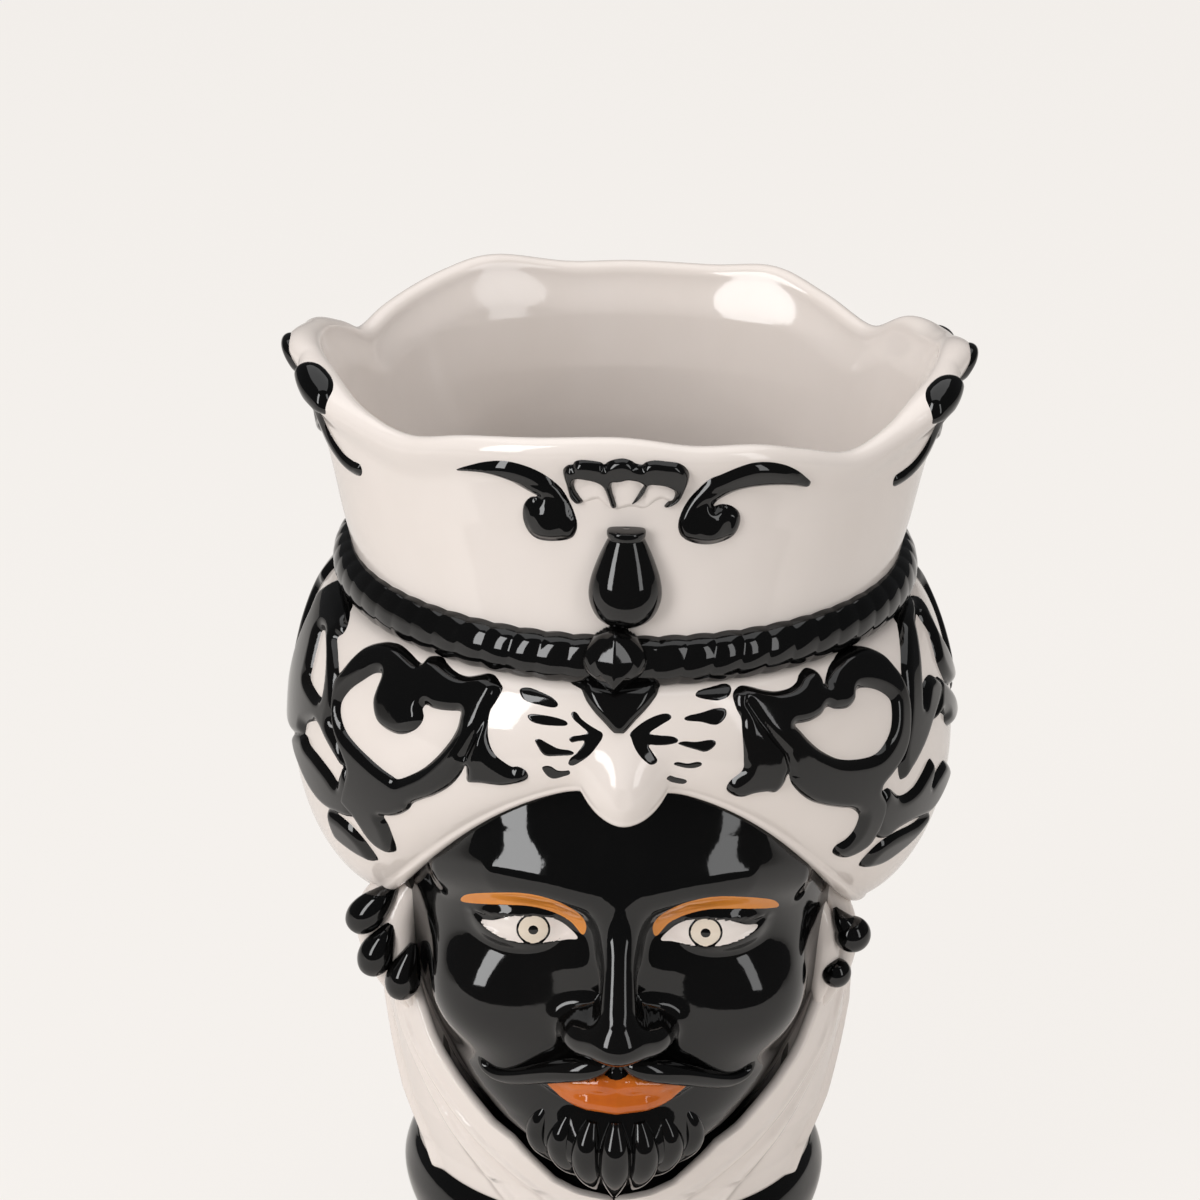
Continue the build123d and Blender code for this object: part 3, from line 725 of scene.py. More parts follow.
scroll_right = [
    (560, 735), (575, 705), (600, 695), (640, 700), (690, 712), (745, 718), (800, 705),
    (830, 680), (840, 650), (860, 625), (885, 620), (915, 635), (938, 665), (947, 690),
    (955, 650), (970, 610), (1000, 570), (1040, 540), (1090, 527), (1140, 535), (1190, 560),
    (1230, 600), (1265, 645), (1290, 700), (1303, 760), (1306, 830), (1300, 900), (1285, 960),
    (1260, 1010), (1225, 1060), (1190, 1110), (1215, 1160), (1205, 1225), (1180, 1290),
    (1150, 1340), (1100, 1380), (1050, 1402), (1015, 1402), (998, 1385), (1010, 1358),
    (1050, 1330), (1080, 1290), (1097, 1235), (1080, 1210), (1055, 1200), (1020, 1198),
    (960, 1190), (900, 1175), (850, 1145), (812, 1103), (797, 1065), (792, 1062), (775, 1105),
    (740, 1137), (700, 1135), (650, 1142), (600, 1156), (560, 1150), (535, 1125), (550, 1090),
    (600, 1045), (606, 1000), (603, 940), (600, 880), (595, 830), (575, 790),
]
heart_right = [
    (815, 850), (850, 843), (885, 833), (925, 808), (948, 778), (985, 786), (1035, 780),
    (1065, 748), (1070, 712), (1090, 698), (1130, 700), (1175, 715), (1210, 745), (1220, 785),
    (1217, 860), (1195, 920), (1150, 972), (1080, 992), (1000, 992), (930, 962), (880, 922),
    (840, 880),
]
# turn and level along the crease that sets off the front leaf of each
crease_left = [(-24.0, 253.1), (-24.9, 247.6), (-26.2, 241.5), (-28.4, 232.6)]
crease_right = [(22.8, 251.6), (24.5, 246.7), (26.7, 241.3), (29.3, 235.5), (30.7, 227.7)]


def creased(line):
    """Height to take away along a line on the shell."""
    there = spread(line)
    path = np.array(there + there[::-1])

    def cut(x, y, depth):
        off = depth_inside(np.stack((x, y), axis=1), path)
        return -1.5 * np.exp(-((off / 1.1) ** 2)) * np.clip(depth / 2, 0, 1)

    return cut


for side, to_back, window, outline, heart, crease in (
    ("left", -101, left_of_brow, scroll_left, heart_left, crease_left),
    ("right", 101, right_of_brow, scroll_right, heart_right, crease_right),
):
    outline = read_off(outline, window, plain_turban, 2.5)
    heart = read_off(heart, window, plain_turban, 1.5)
    for where, moved in (("front", 0), ("back", to_back)):
        pad = laid(
            f"arabesque_{where}_{side}",
            [spread(outline, moved=moved)],
            on_turban,
            rise=2.4,
            edge=3.2,
            holes=[spread(heart, moved=moved)],
            extra=creased([(turn + moved, level) for turn, level in crease]),
        )
        dressed(pad, black_glaze, "black_glaze", f"turban_scroll_{where}_{side}")

# Over each ear more leaves of the same black relief rise from the front arabesque to the
# rope. Their far half, which the head hides, is the near half mirrored about the ear.
ear_turn = 91
left_of_head, right_of_head = (260, 560, 4.61), (800, 560, 4.61)
side_left = [
    [
        (352, 98), (325, 112), (285, 135), (250, 175), (225, 240), (190, 320), (165, 390),
        (148, 460), (133, 530), (122, 600), (118, 660), (122, 720), (140, 790), (175, 800),
        (190, 750), (235, 738), (262, 770), (290, 830), (330, 900), (365, 950), (350, 850),
        (310, 760), (330, 660), (335, 545), (328, 440), (326, 362), (362, 330), (377, 270),
        (373, 190),
    ],
    [
        (145, 800), (150, 870), (178, 960), (208, 1030), (250, 1100), (290, 1140), (340, 1168),
        (400, 1180), (420, 1080), (375, 965), (350, 1000), (338, 1040), (300, 985), (250, 920),
        (205, 862), (185, 815),
    ],
    [
        (288, 1160), (330, 1185), (380, 1230), (430, 1290), (470, 1350), (487, 1390),
        (440, 1372), (380, 1332), (325, 1282), (300, 1230),
    ],
]
hole_left = [
    (270, 318), (286, 350), (292, 450), (286, 560), (266, 648), (222, 600), (203, 548),
    (214, 490), (235, 400), (254, 330),
]
side_right = [
    [
        (500, 180), (522, 172), (545, 200), (556, 250), (552, 310), (560, 370), (568, 440),
        (575, 560), (580, 675), (592, 610), (600, 568), (625, 542), (655, 560), (660, 600),
        (650, 660), (625, 740), (600, 820), (570, 890), (530, 960), (490, 1010), (480, 900),
        (500, 750), (500, 560), (495, 460), (490, 350), (484, 260),
    ],
    [
        (555, 172), (600, 235), (640, 325), (690, 420), (714, 500), (718, 550), (702, 566),
        (665, 490), (640, 400), (622, 335), (585, 275), (560, 230),
    ],
    [
        (655, 552), (690, 575), (722, 635), (733, 700), (712, 757), (694, 745), (690, 712),
        (668, 700), (640, 730), (650, 640),
    ],
    [
        (415, 1070), (480, 1102), (545, 1062), (590, 990), (622, 928), (633, 958), (618, 1035),
        (642, 1000), (685, 935), (699, 970), (665, 1075), (615, 1160), (540, 1200), (470, 1240),
        (400, 1285), (360, 1200),
    ],
    [
        (330, 1420), (345, 1380), (400, 1320), (470, 1270), (560, 1220), (614, 1160),
        (607, 1200), (562, 1270), (482, 1350), (402, 1405),
    ],
]
for side, sign, window, outlines, holes in (
    ("left", -1, left_of_head, side_left, [hole_left]),
    ("right", 1, right_of_head, side_right, []),
):
    outlines = [read_off(each, window, plain_turban, 2.0) for each in outlines]
    holes = [read_off(each, window, plain_turban, 2.0) for each in holes]
    middle = sign * ear_turn
    pad = laid(
        f"arabesque_side_{side}",
        [spread(each) for each in outlines] + [spread(each, middle) for each in outlines],
        on_turban,
        rise=2.3,
        edge=3.2,
        pitch=0.7,
        grown=0.6,
        holes=[spread(each) for each in holes] + [spread(each, middle) for each in holes],
    )
    dressed(pad, black_glaze, "black_glaze", f"turban_scroll_side_{side}")

# At the crown's pinched sides three commas of black clay curl over the lobes of the rim,
# head up and tail down, the same hand three times over. They are luted on like the rest.
lip_way = 13.0


def on_lip(x, y):
    """Crown surface by way along its wall: 0 where the lip starts to roll."""
    turn = x / TURN
    wall_way = wave(turn) + 1.2 * lobes(turn) - lip - crown_foot
    below = roll_start * (1 + y / wall_way)
    over = roll_start + (roll_end - roll_start) * np.clip(y / lip_way, 0, 1)
    inside = roll_end + (1 - roll_end) * (y - lip_way) / wall_way
    v = np.where(y < 0, below, over)
    return crown_place(turn / 360 + 0.5, np.where(y > lip_way, inside, v))


# turn and way along the wall from the lip
curl = [
    (-61.4, -15.6), (-61.4, -18.8), (-63.6, -21.8), (-67.4, -24.0), (-71.6, -23.4),
    (-74.6, -20.0), (-75.9, -14.4), (-76.0, -8), (-75.6, -2), (-74.4, 3), (-72, 6.8),
    (-68.6, 7.6), (-65.8, 5.6), (-64.6, 2.0), (-64.8, -1.6), (-66.4, -4.0), (-68.2, -4.4),
    (-69.6, -5.6), (-70.5, -9.2), (-70.6, -13.2), (-69.4, -16.8), (-66.8, -18.2),
    (-64.0, -17.0),
]
for side, sign in (("left", 1), ("right", -1)):
    for where, moved, down in (("front", 0, 0), ("middle", -18, 4.5), ("back", -36, 4.5)):
        outline = [((turn + moved) * sign * TURN, run - down) for turn, run in curl]
        pad = laid(f"curl_{where}_{side}", [outline], on_lip, rise=1.6, edge=2.6, pitch=0.5)
        dressed(pad, black_glaze, "black_glaze", f"corner_curl_{where}_{side}")

# Below the rope a brush left short strokes and two small arrows beside the pendant's tip.
# They are black colour that lies flat in the glaze, no relief.
under_rope = (500, 600, 6.03)
strokes = [
    [
        (120, 550), (135, 530), (180, 530), (240, 550), (310, 585), (347, 620), (345, 642),
        (310, 647), (240, 632), (180, 618), (140, 595),
    ],
    [
        (168, 700), (185, 688), (230, 690), (320, 705), (390, 725), (408, 745), (390, 758),
        (320, 758), (240, 748), (185, 730),
    ],
    [
        (210, 845), (240, 838), (290, 865), (350, 895), (420, 905), (447, 920), (430, 935),
        (350, 940), (290, 942), (255, 925), (225, 880),
    ],
    [
        (255, 1010), (280, 1000), (310, 1005), (345, 1028), (385, 1030), (418, 1028),
        (422, 1050), (385, 1065), (330, 1080), (290, 1068), (262, 1035),
    ],
    [
        (430, 685), (445, 672), (465, 680), (495, 718), (540, 752), (590, 782), (617, 798),
        (620, 825), (590, 870), (545, 925), (490, 970), (440, 997), (412, 988), (425, 955),
        (470, 915), (510, 855), (470, 852), (435, 858), (418, 840), (435, 822), (485, 814),
        (528, 800), (490, 760), (445, 720),
    ],
    [
        (785, 800), (830, 760), (890, 720), (960, 690), (1010, 683), (1035, 700), (1025, 720),
        (970, 755), (905, 800), (960, 815), (1030, 820), (1070, 835), (1065, 860), (1010, 872),
        (950, 872), (895, 868), (920, 910), (945, 950), (935, 970), (900, 970), (850, 930),
        (815, 880), (790, 825),
    ],
    [
        (1178, 570), (1200, 545), (1260, 525), (1340, 505), (1378, 510), (1394, 540),
        (1375, 580), (1320, 605), (1270, 602), (1200, 590),
    ],
    [
        (1110, 715), (1140, 695), (1210, 680), (1290, 655), (1350, 652), (1367, 675),
        (1355, 710), (1320, 747), (1280, 752), (1210, 735), (1130, 727),
    ],
    [
        (1072, 865), (1110, 852), (1180, 855), (1250, 845), (1290, 845), (1302, 865),
        (1280, 895), (1235, 915), (1180, 902), (1110, 882),
    ],
    [
        (1045, 985), (1070, 975), (1130, 985), (1190, 975), (1215, 983), (1212, 1000),
        (1170, 1015), (1120, 1012), (1060, 997),
    ],
    [
        (1000, 1065), (1020, 1053), (1060, 1068), (1120, 1085), (1127, 1100), (1105, 1112),
        (1060, 1102), (1020, 1087),
    ],
]
strokes = [spread(read_off(each, under_rope, plain_turban, 0)) for each in strokes]
brow_strokes = laid("brow_strokes", strokes, on_turban, rise=0.14, edge=0.5, pitch=0.3)
dressed(brow_strokes, black_glaze, "black_glaze")

# The pendant is a pointed pad of black clay that hangs below the jewel, luted on the
# turban with its wide end under the rope.
pendant_outline = [
    (445, 480), (500, 540), (530, 620), (580, 690), (640, 750), (690, 802), (715, 814),
    (740, 805), (800, 740), (860, 680), (910, 620), (938, 560), (947, 460),
]
pendant_outline = spread(read_off(pendant_outline, under_rope, plain_turban, 4))
pendant = laid("pendant", [pendant_outline], on_turban, rise=2.4, edge=2.6, pitch=0.4, grown=1.2)
dressed(pendant, black_glaze, "black_glaze", "band_pendant")

# Two commas of black clay face each other on the crown, luted on like the arabesques.
# Each runs from a thin tail to a round head with a raised button.
left_of_crown, right_of_crown = (250, 230, 3.92), (600, 230, 3.92)
plain_levels = [272, 286.04, 303.2, 320.36, 335.96, 350]
plain_wide = [88, 91.25, 94.5, 97.75, 101, 102.3]
plain_deep = [88, 86, 84.5, 85, 87, 89]


def plain_crown(turn, level):
    """The crown without its flare and lobes, on which marks are read."""
    wide = np.interp(level, plain_levels, plain_wide)
    return oval(turn, wide, np.interp(level, plain_levels, plain_deep))


comma_left = [
    (808, 942), (830, 930), (870, 918), (920, 905), (980, 898), (1040, 905), (1100, 928),
    (1150, 958), (1190, 990), (1222, 1020), (1247, 1060), (1266, 1100), (1280, 1150),
    (1275, 1190), (1253, 1213), (1200, 1221), (1140, 1218), (1100, 1197), (1075, 1160),
    (1065, 1120), (1070, 1078), (1095, 1050), (1125, 1046), (1090, 1028), (1040, 1000),
    (980, 970), (920, 952), (860, 944),
]
comma_right = [
    (825, 990), (800, 965), (760, 935), (710, 913), (650, 902), (590, 905), (530, 925),
    (470, 955), (430, 975), (390, 1015), (350, 1060), (320, 1110), (308, 1160), (320, 1202),
    (360, 1226), (420, 1236), (480, 1225), (530, 1197), (552, 1150), (548, 1110), (520, 1085),
    (480, 1077), (447, 1085), (470, 1060), (530, 1030), (600, 1012), (680, 1004), (760, 1004),
    (805, 1008),
]
for side, window, outline, button_turn, button_level in (
    ("left", left_of_crown, comma_left, -15.9, 308.5),
    ("right", right_of_crown, comma_right, 16.6, 307.5),
):

    def button_rise(x, y, depth):
        off = np.hypot(x - button_turn * TURN, y - button_level)
        groove = np.exp(-(((off - 7.4) / 1.5) ** 2)) * (depth > 0.6)
        return 1.1 * np.exp(-((off / 4.6) ** 4)) - 0.4 * groove

    outline = spread(read_off(outline, window, plain_crown, 1.5))
    pad = laid(
        f"comma_{side}",
        [outline],
        on_crown,
        rise=2.2,
        edge=3.0,
        pitch=0.45,
        extra=button_rise,
    )
    dressed(pad, black_glaze, "black_glaze", f"crown_scroll_{side}")

# Between them sits a small shell of clay: cusps brushed black outside and ribs left
# white within, pressed on as one piece and parted by the brush.
middle_of_crown = (520, 420, 7.127)
palmette_outline = [
    (318, 400), (320, 352), (350, 322), (385, 315), (405, 290), (440, 280), (500, 284),
    (550, 292), (580, 300), (603, 316), (640, 290), (690, 273), (740, 270), (790, 285),
    (820, 305), (870, 315), (900, 295), (960, 282), (1040, 290), (1110, 298), (1160, 325),
    (1190, 370), (1196, 420), (1185, 470), (1160, 530), (1130, 580), (1085, 612), (1040, 622),
    (1052, 603), (1085, 575), (1105, 545), (1110, 518), (1090, 490), (1040, 460), (980, 450),
    (930, 450), (910, 475), (880, 530), (840, 577), (798, 597), (820, 560), (850, 520),
    (883, 470), (860, 435), (820, 418), (770, 413), (730, 425), (690, 432), (660, 434),
    (650, 470), (655, 520), (670, 570), (685, 612), (665, 628), (648, 612), (632, 560),
    (605, 505), (575, 460), (530, 430), (470, 412), (410, 402), (383, 420), (378, 460),
    (395, 510), (425, 550), (441, 575), (420, 597), (390, 590), (358, 555), (343, 500),
    (328, 450),
]
palmette_outline = spread(read_off(palmette_outline, middle_of_crown, plain_crown, 1.5))
palmette = laid("palmette", [palmette_outline], on_crown, rise=2.5, edge=1.7, pitch=0.3, grown=0.4)
dressed(palmette, black_glaze, "black_glaze", "crown_palmette")


def rib_rise(x, y, depth):
    """Ribs that fan down from a point at the rim."""
    fan = np.degrees(np.arctan2(x - 0.2 * TURN, 336 - y))
    return 0.6 * np.abs(np.cos(np.radians(fan * 6.2))) * np.clip(depth / 1.5, 0, 1)


shell_outline = [
    (-10, 325), (-5, 325.5), (0, 326), (5, 325.5), (10, 325), (10.6, 320), (9.5, 315),
    (6.5, 316.5), (3.4, 313.5), (0.6, 314), (-3, 313.0), (-6, 316.0), (-9.4, 315),
    (-11.5, 320),
]
shell_outline = spread(shell_outline)
shell_ribs = laid(
    "shell_ribs", [shell_outline], on_crown, rise=0.5, edge=1.4, pitch=0.45, extra=rib_rise
)
dressed(shell_ribs, white_glaze, "white_glaze")

# The drop below the shell is a pear of clay under a small cap, turned in one piece,
# flattened a little and set on the crown's front. It is brushed black all over.
drop_turn = -0.2
drop_forward = 86.8
pear = [(0.1, 275.8), (4.8, 276.5), (8.8, 279.4), (11.0, 284.8), (10.7, 290.5), (8.7, 297.0)]
stalk = [(6.6, 302), (5.4, 304.4)]
cap = [(5.7, 304.8), (5.9, 306.0), (5.2, 307.2), (0.1, 307.6)]
drop_line = rounded(pear + stalk) + rounded(cap, 4)
drop = turned("crown_drop_pear", drop_line, turns=64)
bpy.ops.object.select_all(action="DESELECT")
drop.select_set(True)
bpy.context.view_layer.objects.active = drop
drop.scale = (1.0, 0.85, 1.0)
drop.location = (drop_turn * TURN * MM, -drop_forward * MM, 0)
bpy.ops.object.transform_apply(location=True, scale=True)
dressed(drop, black_glaze, "black_glaze", "crown_drop")


# The jewel is a bud of black clay with a ridge down its middle. It is pressed over the
# rope, as if the rope were tied there, and covers the pendant's upper end.
def on_rope(x, y):
    near = np.clip((y - rope_level) / 8.2, -1, 1)
    return round_place(x / TURN, 88.5 + 5.6 * np.sqrt(1 - near**2 * 0.95), y)


def bud_rise(x, y, depth):
    """A ridge down the middle of the bud."""
    off = np.abs(x + 3.2)
    return 4.0 * (1 - off / 10) * np.clip(depth / 4.5, 0, 1)


bud_outline = [
    (-3.2, 276.6), (-7.2, 275.4), (-11.0, 272.2), (-13.0, 268.0), (-12.0, 263.4),
    (-8.2, 259.8), (-3.2, 256.4), (1.8, 259.8), (5.6, 263.4), (6.6, 268.0), (4.6, 272.2),
    (0.8, 275.4),
]
bud = laid("jewel_bud", [bud_outline], on_rope, rise=1.6, edge=2.4, pitch=0.35, extra=bud_rise)
dressed(bud, black_glaze, "black_glaze", "band_jewel")


# The face is a cast shell of its own under black glaze. Brow, cheeks and chin swell out of
# one form, the nose and the lips stand on it, and the eyeballs lie under their lids.
def near_ball(spots, centre, reach):
    """About the distance from an ellipsoid."""
    off = (spots - np.array(centre, float)) / np.array(reach, float)
    size = np.linalg.norm(off, axis=1)
    return (size - 1) * min(reach)


def near_rod(spots, points):
    """Distance from a rod through (x, forward, z, radius) points."""
    best = np.full(len(spots), 1e9)
    for first, last in zip(points[:-1], points[1:]):
        a, b = np.array(first[:3], float), np.array(last[:3], float)
        way = b - a
        share = np.clip((spots - a) @ way / (way @ way), 0, 1)
        gap = np.linalg.norm(spots - a - share[:, None] * way, axis=1)
        best = np.minimum(best, gap - first[3] - (last[3] - first[3]) * share)
    return best


def joined(first, second, blend):
    """Both forms run into each other."""
    share = np.clip(0.5 + 0.5 * (second - first) / blend, 0, 1)
    return second + (first - second) * share - blend * share * (1 - share)


def pressed(first, second, blend):
    """The second form pressed out of the first."""
    return -joined(-first, second, blend)


# level, half width and depth in front of the axis
face_rows = [
    (60, 22, 52), (72, 25, 58), (80, 30, 68), (84, 36, 74), (90, 45, 80), (100, 54.5, 82),
    (114, 62.5, 81.5), (128, 67.5, 82), (150, 70.5, 82), (168, 72, 83), (180, 72.8, 85.6),
    (188, 73.5, 86.6), (196, 74.5, 86), (206, 75.4, 83.4), (216, 76.2, 79.6),
    (226, 76.8, 75), (240, 77.5, 67.6), (260, 79, 55),
]
face_levels, face_half, face_deep = np.array(face_rows).T
eye_across = 27.5


def smooth_levels(level, levels, values):
    """Values between marked levels, with one steady slope at each of them."""
    slope = np.gradient(values, levels)
    i = np.clip(np.searchsorted(levels, level) - 1, 0, len(levels) - 2)
    low, gap = np.take(levels, i), np.take(levels, i + 1) - np.take(levels, i)
    t = np.clip((level - low) / gap, 0, 1)
    first, last = np.take(values, i), np.take(values, i + 1)
    bend = t * (1 - t) * gap * ((1 - t) * slope[i] - t * slope[i + 1])
    return first + (last - first) * t * t * (3 - 2 * t) + bend


def face_form(spots):
    """Signed distance of (x, forward, z) spots from the face, negative inside."""
    x, forward, level = spots[:, 0], spots[:, 1], spots[:, 2]
    half = smooth_levels(level, face_levels, face_half)
    deep = smooth_levels(level, face_levels, face_deep)
    square = 2.35
    share = (np.abs(x) / half) ** square + (np.abs(forward) / deep) ** square
    form = (share ** (1 / square) - 1) * np.minimum(half, deep)
    throat = np.hypot(x / 58, forward / 60) * 58 - 58
    form = joined(form, np.maximum(throat, level - 110), 8)
    mirrored = np.stack((np.abs(x), forward, level), axis=1)
    socket = near_ball(mirrored, (27, 92, 171), (19, 15, 10.5))
    cheek = near_ball(mirrored, (38, 61, 141), (19, 17, 17))
    chin = near_ball(spots, (0, 70, 93), (19, 16.5, 12))
    form = joined(joined(pressed(form, socket, 8), cheek, 14), chin, 9)
    brow = [(6, 80, 184, 5), (20, 80.5, 189, 5.5), (38, 74, 188.5, 5), (54, 60, 182, 3.5)]
    beside_nose = [(20, 92, 128, 1.6), (27, 84, 116, 2)]
    nose = [(0, 80.5, 178, 5.0), (0, 88, 160, 5.4), (0, 95, 143, 6.6)]
    form = joined(form, near_rod(mirrored, brow), 9)
    form = pressed(form, near_rod(mirrored, beside_nose), 6)
    form = joined(form, near_rod(spots, nose), 7)
    nose_tip = near_ball(spots, (0, 96, 139.0), (9.4, 9, 7.4))
    nose_wing = near_ball(mirrored, (10.6, 86, 137.2), (7.2, 9.5, 6.6))
    nostril = near_ball(mirrored, (6.6, 92.5, 130.8), (3.0, 4.2, 2.2))
    form = pressed(joined(joined(form, nose_tip, 4), nose_wing, 7), nostril, 1.6)
    form = joined(form, near_rod(spots, [(0, 84, 130, 2.6), (0, 85.5, 122.5, 2.4)]), 6)
    form = pressed(form, near_rod(spots, [(0, 92.6, 128, 1.6), (0, 93.4, 122, 2.0)]), 3)
    ball = near_ball(mirrored, (eye_across, 64.5, 169.2), (18.5, 14.8, 12.6))
    upper = near_ball(mirrored, (eye_across, 65.0, 169.6), (20.0, 16.0, 13.6))
    lower = near_ball(mirrored, (eye_across, 64.7, 168.8), (19.6, 15.6, 13.2))
    aside = np.abs(x) - eye_across
    arch = 173.2 + 1.3 * np.cos(aside / 17 * 1.5) - 0.03 * np.abs(aside) ** 1.3
    under = 164.4 + 0.016 * aside**2
    form = joined(form, ball, 1.2)
    form = joined(form, np.maximum(upper, (arch - level) * 0.9), 1.6)
    form = joined(form, np.maximum(lower, (level - under) * 0.9), 1.8)
    lower_lip = [(0, 87, 112.8, 4.5), (8, 85.5, 112.9, 4.1), (16, 81.8, 114, 2.8)]
    upper_lip = [(0, 86.5, 118.6, 3.0), (5, 87, 119.9, 3.3), (13, 84.5, 118.6, 2.8)]
    between_lips = [(0, 92.8, 116.2, 0.7), (12, 90, 116.0, 0.7), (24, 79.5, 116.3, 0.8)]
    form = joined(form, near_rod(mirrored, lower_lip + [(22.5, 77.6, 116, 1.2)]), 2.6)
    form = joined(form, near_rod(mirrored, upper_lip + [(22.5, 78, 116.6, 1.2)]), 2.2)
    form = pressed(form, near_rod(mirrored, between_lips), 1.0)
    return pressed(form, near_rod(mirrored, [(0, 91.5, 104.0, 3.0), (9, 90, 105, 2.5)]), 7)


def traced(form, across, upwards):
    """Where rays inward to the middle of the head first meet a form."""
    turn, tilt = np.meshgrid(np.radians(across), np.radians(upwards), indexing="ij")
    turn, tilt = turn.ravel(), tilt.ravel()
    out = np.cos(tilt)
    way = np.stack((np.sin(turn) * out, np.cos(turn) * out, np.sin(tilt)), axis=1)
    middle = np.array((0, 20.0, 150.0))
    reach = np.full(len(way), 118.0)
    for _ in range(70):
        reach = reach - form(middle + way * reach[:, None]) * 0.7
    return middle + way * reach[:, None]


columns, rows = 280, 244
skin = traced(face_form, np.linspace(-90, 90, columns + 1), np.linspace(-64, 57, rows + 1))
face, _ = grid_through("face_shell", columns, rows, skin * (1, -1, 1))
dressed(face, black_glaze, "black_glaze", "face")

# Eyes, lids and lips are thin coats of colour over the black, brushed on by hand and
# fired with the glaze. They follow the form of the face.
orange_glaze = glaze(
    "orange_glaze", (0.62, 0.155, 0.016), (0.44, 0.082, 0.010), 0.07, drift=60.0
)
lid_glaze = glaze("lid_glaze", (0.72, 0.255, 0.035), (0.56, 0.16, 0.02), 0.07, drift=60.0)
cream_glaze = glaze("cream_glaze", (0.80, 0.70, 0.58), (0.74, 0.63, 0.50), 0.07)
skin_tree = BVHTree.FromPolygons(
    [tuple(v.co / MM) for v in face.data.vertices],
    [tuple(p.vertices) for p in face.data.polygons],
)


def on_face(x, level):
    spots = []
    for across_at, up_at in zip(x.ravel(), level.ravel()):
        hit = skin_tree.ray_cast(Vector((across_at, -140, up_at)), Vector((0, 1, 0)))[0]
        spots.append(hit if hit is not None else Vector((across_at, 0, up_at)))
    spots = np.array(spots).reshape(*x.shape, 3)
    return spots[..., 0], spots[..., 1], spots[..., 2]


def painted(name, outlines, material, rise, pitch=0.35, holes=()):
    coat = laid(name, outlines, on_face, rise, edge=0.5, pitch=pitch, holes=holes)
    return dressed(coat, material, "black_glaze")


def ring_points(centre, radius, count=16):
    turns = [2 * pi * k / count for k in range(count)]
    return [(centre[0] + radius * cos(turn), centre[1] + radius * sin(turn)) for turn in turns]


eye = [
    (13, 166.9), (17, 170.6), (22, 173.1), (28, 174.0), (34, 173.0), (39.5, 170.6),
    (43.5, 168.8), (38.5, 166.2), (33.5, 164.9), (27, 164.4), (21, 165.0), (16.5, 165.9),
]
lid = [
    (11.5, 168.2), (15.5, 172.2), (21, 175.4), (28, 177.2), (36, 176.8), (43, 175.2),
    (50.0, 172.6), (48, 176.8), (40, 181.2), (30, 184.0), (21, 183.0), (14.0, 178.5),
    (10.5, 172.5),
]
lips = [
    (-22.6, 116.5), (-17, 119.6), (-10, 122.6), (-5, 123.4), (0, 121.6), (5, 123.4),
    (10, 122.6), (17, 119.6), (22.6, 116.5), (17.5, 112.6), (11, 109.2), (4, 107.9),
    (-4, 107.9), (-11, 109.2), (-17.5, 112.6),
]
for side, sign in (("left", -1), ("right", 1)):
    iris = (sign * 27.0, 169.2)
    iris_edge, iris_hole = ring_points(iris, 5.5), ring_points(iris, 4.4)
    painted(f"eye_white_{side}", [[(sign * x, level) for x, level in eye]], white_glaze, 0.10)
    painted(f"iris_{side}", [ring_points(iris, 5.0)], cream_glaze, 0.14)
    painted(f"iris_ring_{side}", [iris_edge], black_glaze, 0.20, holes=[iris_hole])
    painted(f"pupil_{side}", [ring_points(iris, 1.8, 12)], black_glaze, 0.20, pitch=0.25)
    painted(f"lid_stroke_{side}", [[(sign * x, level) for x, level in lid]], lid_glaze, 0.10)
painted("lip_colour", [lips], orange_glaze, 0.12)


# The moustache is two strands of black clay, fuller in the middle and drawn out to curled
# points. They are luted on the face under the nose.
def strand(name, points):
    """A tapering strand through (x, forward, z, radius) points."""
    bpy.ops.object.select_all(action="DESELECT")
    bpy.ops.curve.primitive_nurbs_path_add()
    piece = bpy.context.object
    piece.name = name
    piece.data.splines.clear()
    line = piece.data.splines.new("NURBS")
    line.points.add(len(points) - 1)
    for spot, (x, forward, level, radius) in zip(line.points, points):
        spot.co = (x * MM, -forward * MM, level * MM, 1)
        spot.radius = radius
    line.order_u = 3
    line.use_endpoint_u = True
    line.resolution_u = 8
    piece.data.bevel_depth = MM
    piece.data.bevel_resolution = 10
    piece.data.use_fill_caps = True
    bpy.ops.object.convert(target="MESH")
    return bpy.context.object


def gathered(name, pieces):
    bpy.ops.object.select_all(action="DESELECT")
    for piece in pieces:
        piece.select_set(True)
    bpy.context.view_layer.objects.active = pieces[0]
    bpy.ops.object.join()
    pieces[0].name = name
    return pieces[0]


def on_side(sign, points):
    return [(sign * x, forward, level, radius) for x, forward, level, radius in points]


half_moustache = [
    (0.5, 87, 127.4, 0.8), (4, 88.6, 127.2, 3), (9, 88.6, 125.6, 4), (16, 86, 123.4, 4),
    (24, 81, 119.6, 3.4), (31, 75.5, 115.4, 2.8), (37, 70, 112.6, 2.3), (42, 66, 113.4, 1.9),
    (43.5, 65, 117.4, 1.6), (40.5, 67.6, 119.6, 1.2), (38.2, 69.4, 117.6, 0.8),
]
wings = [strand(f"wing_{sign}", on_side(sign, half_moustache)) for sign in (-1, 1)]
moustache = gathered("moustache_strands", wings)
dressed(moustache, black_glaze, "black_glaze", "moustache")

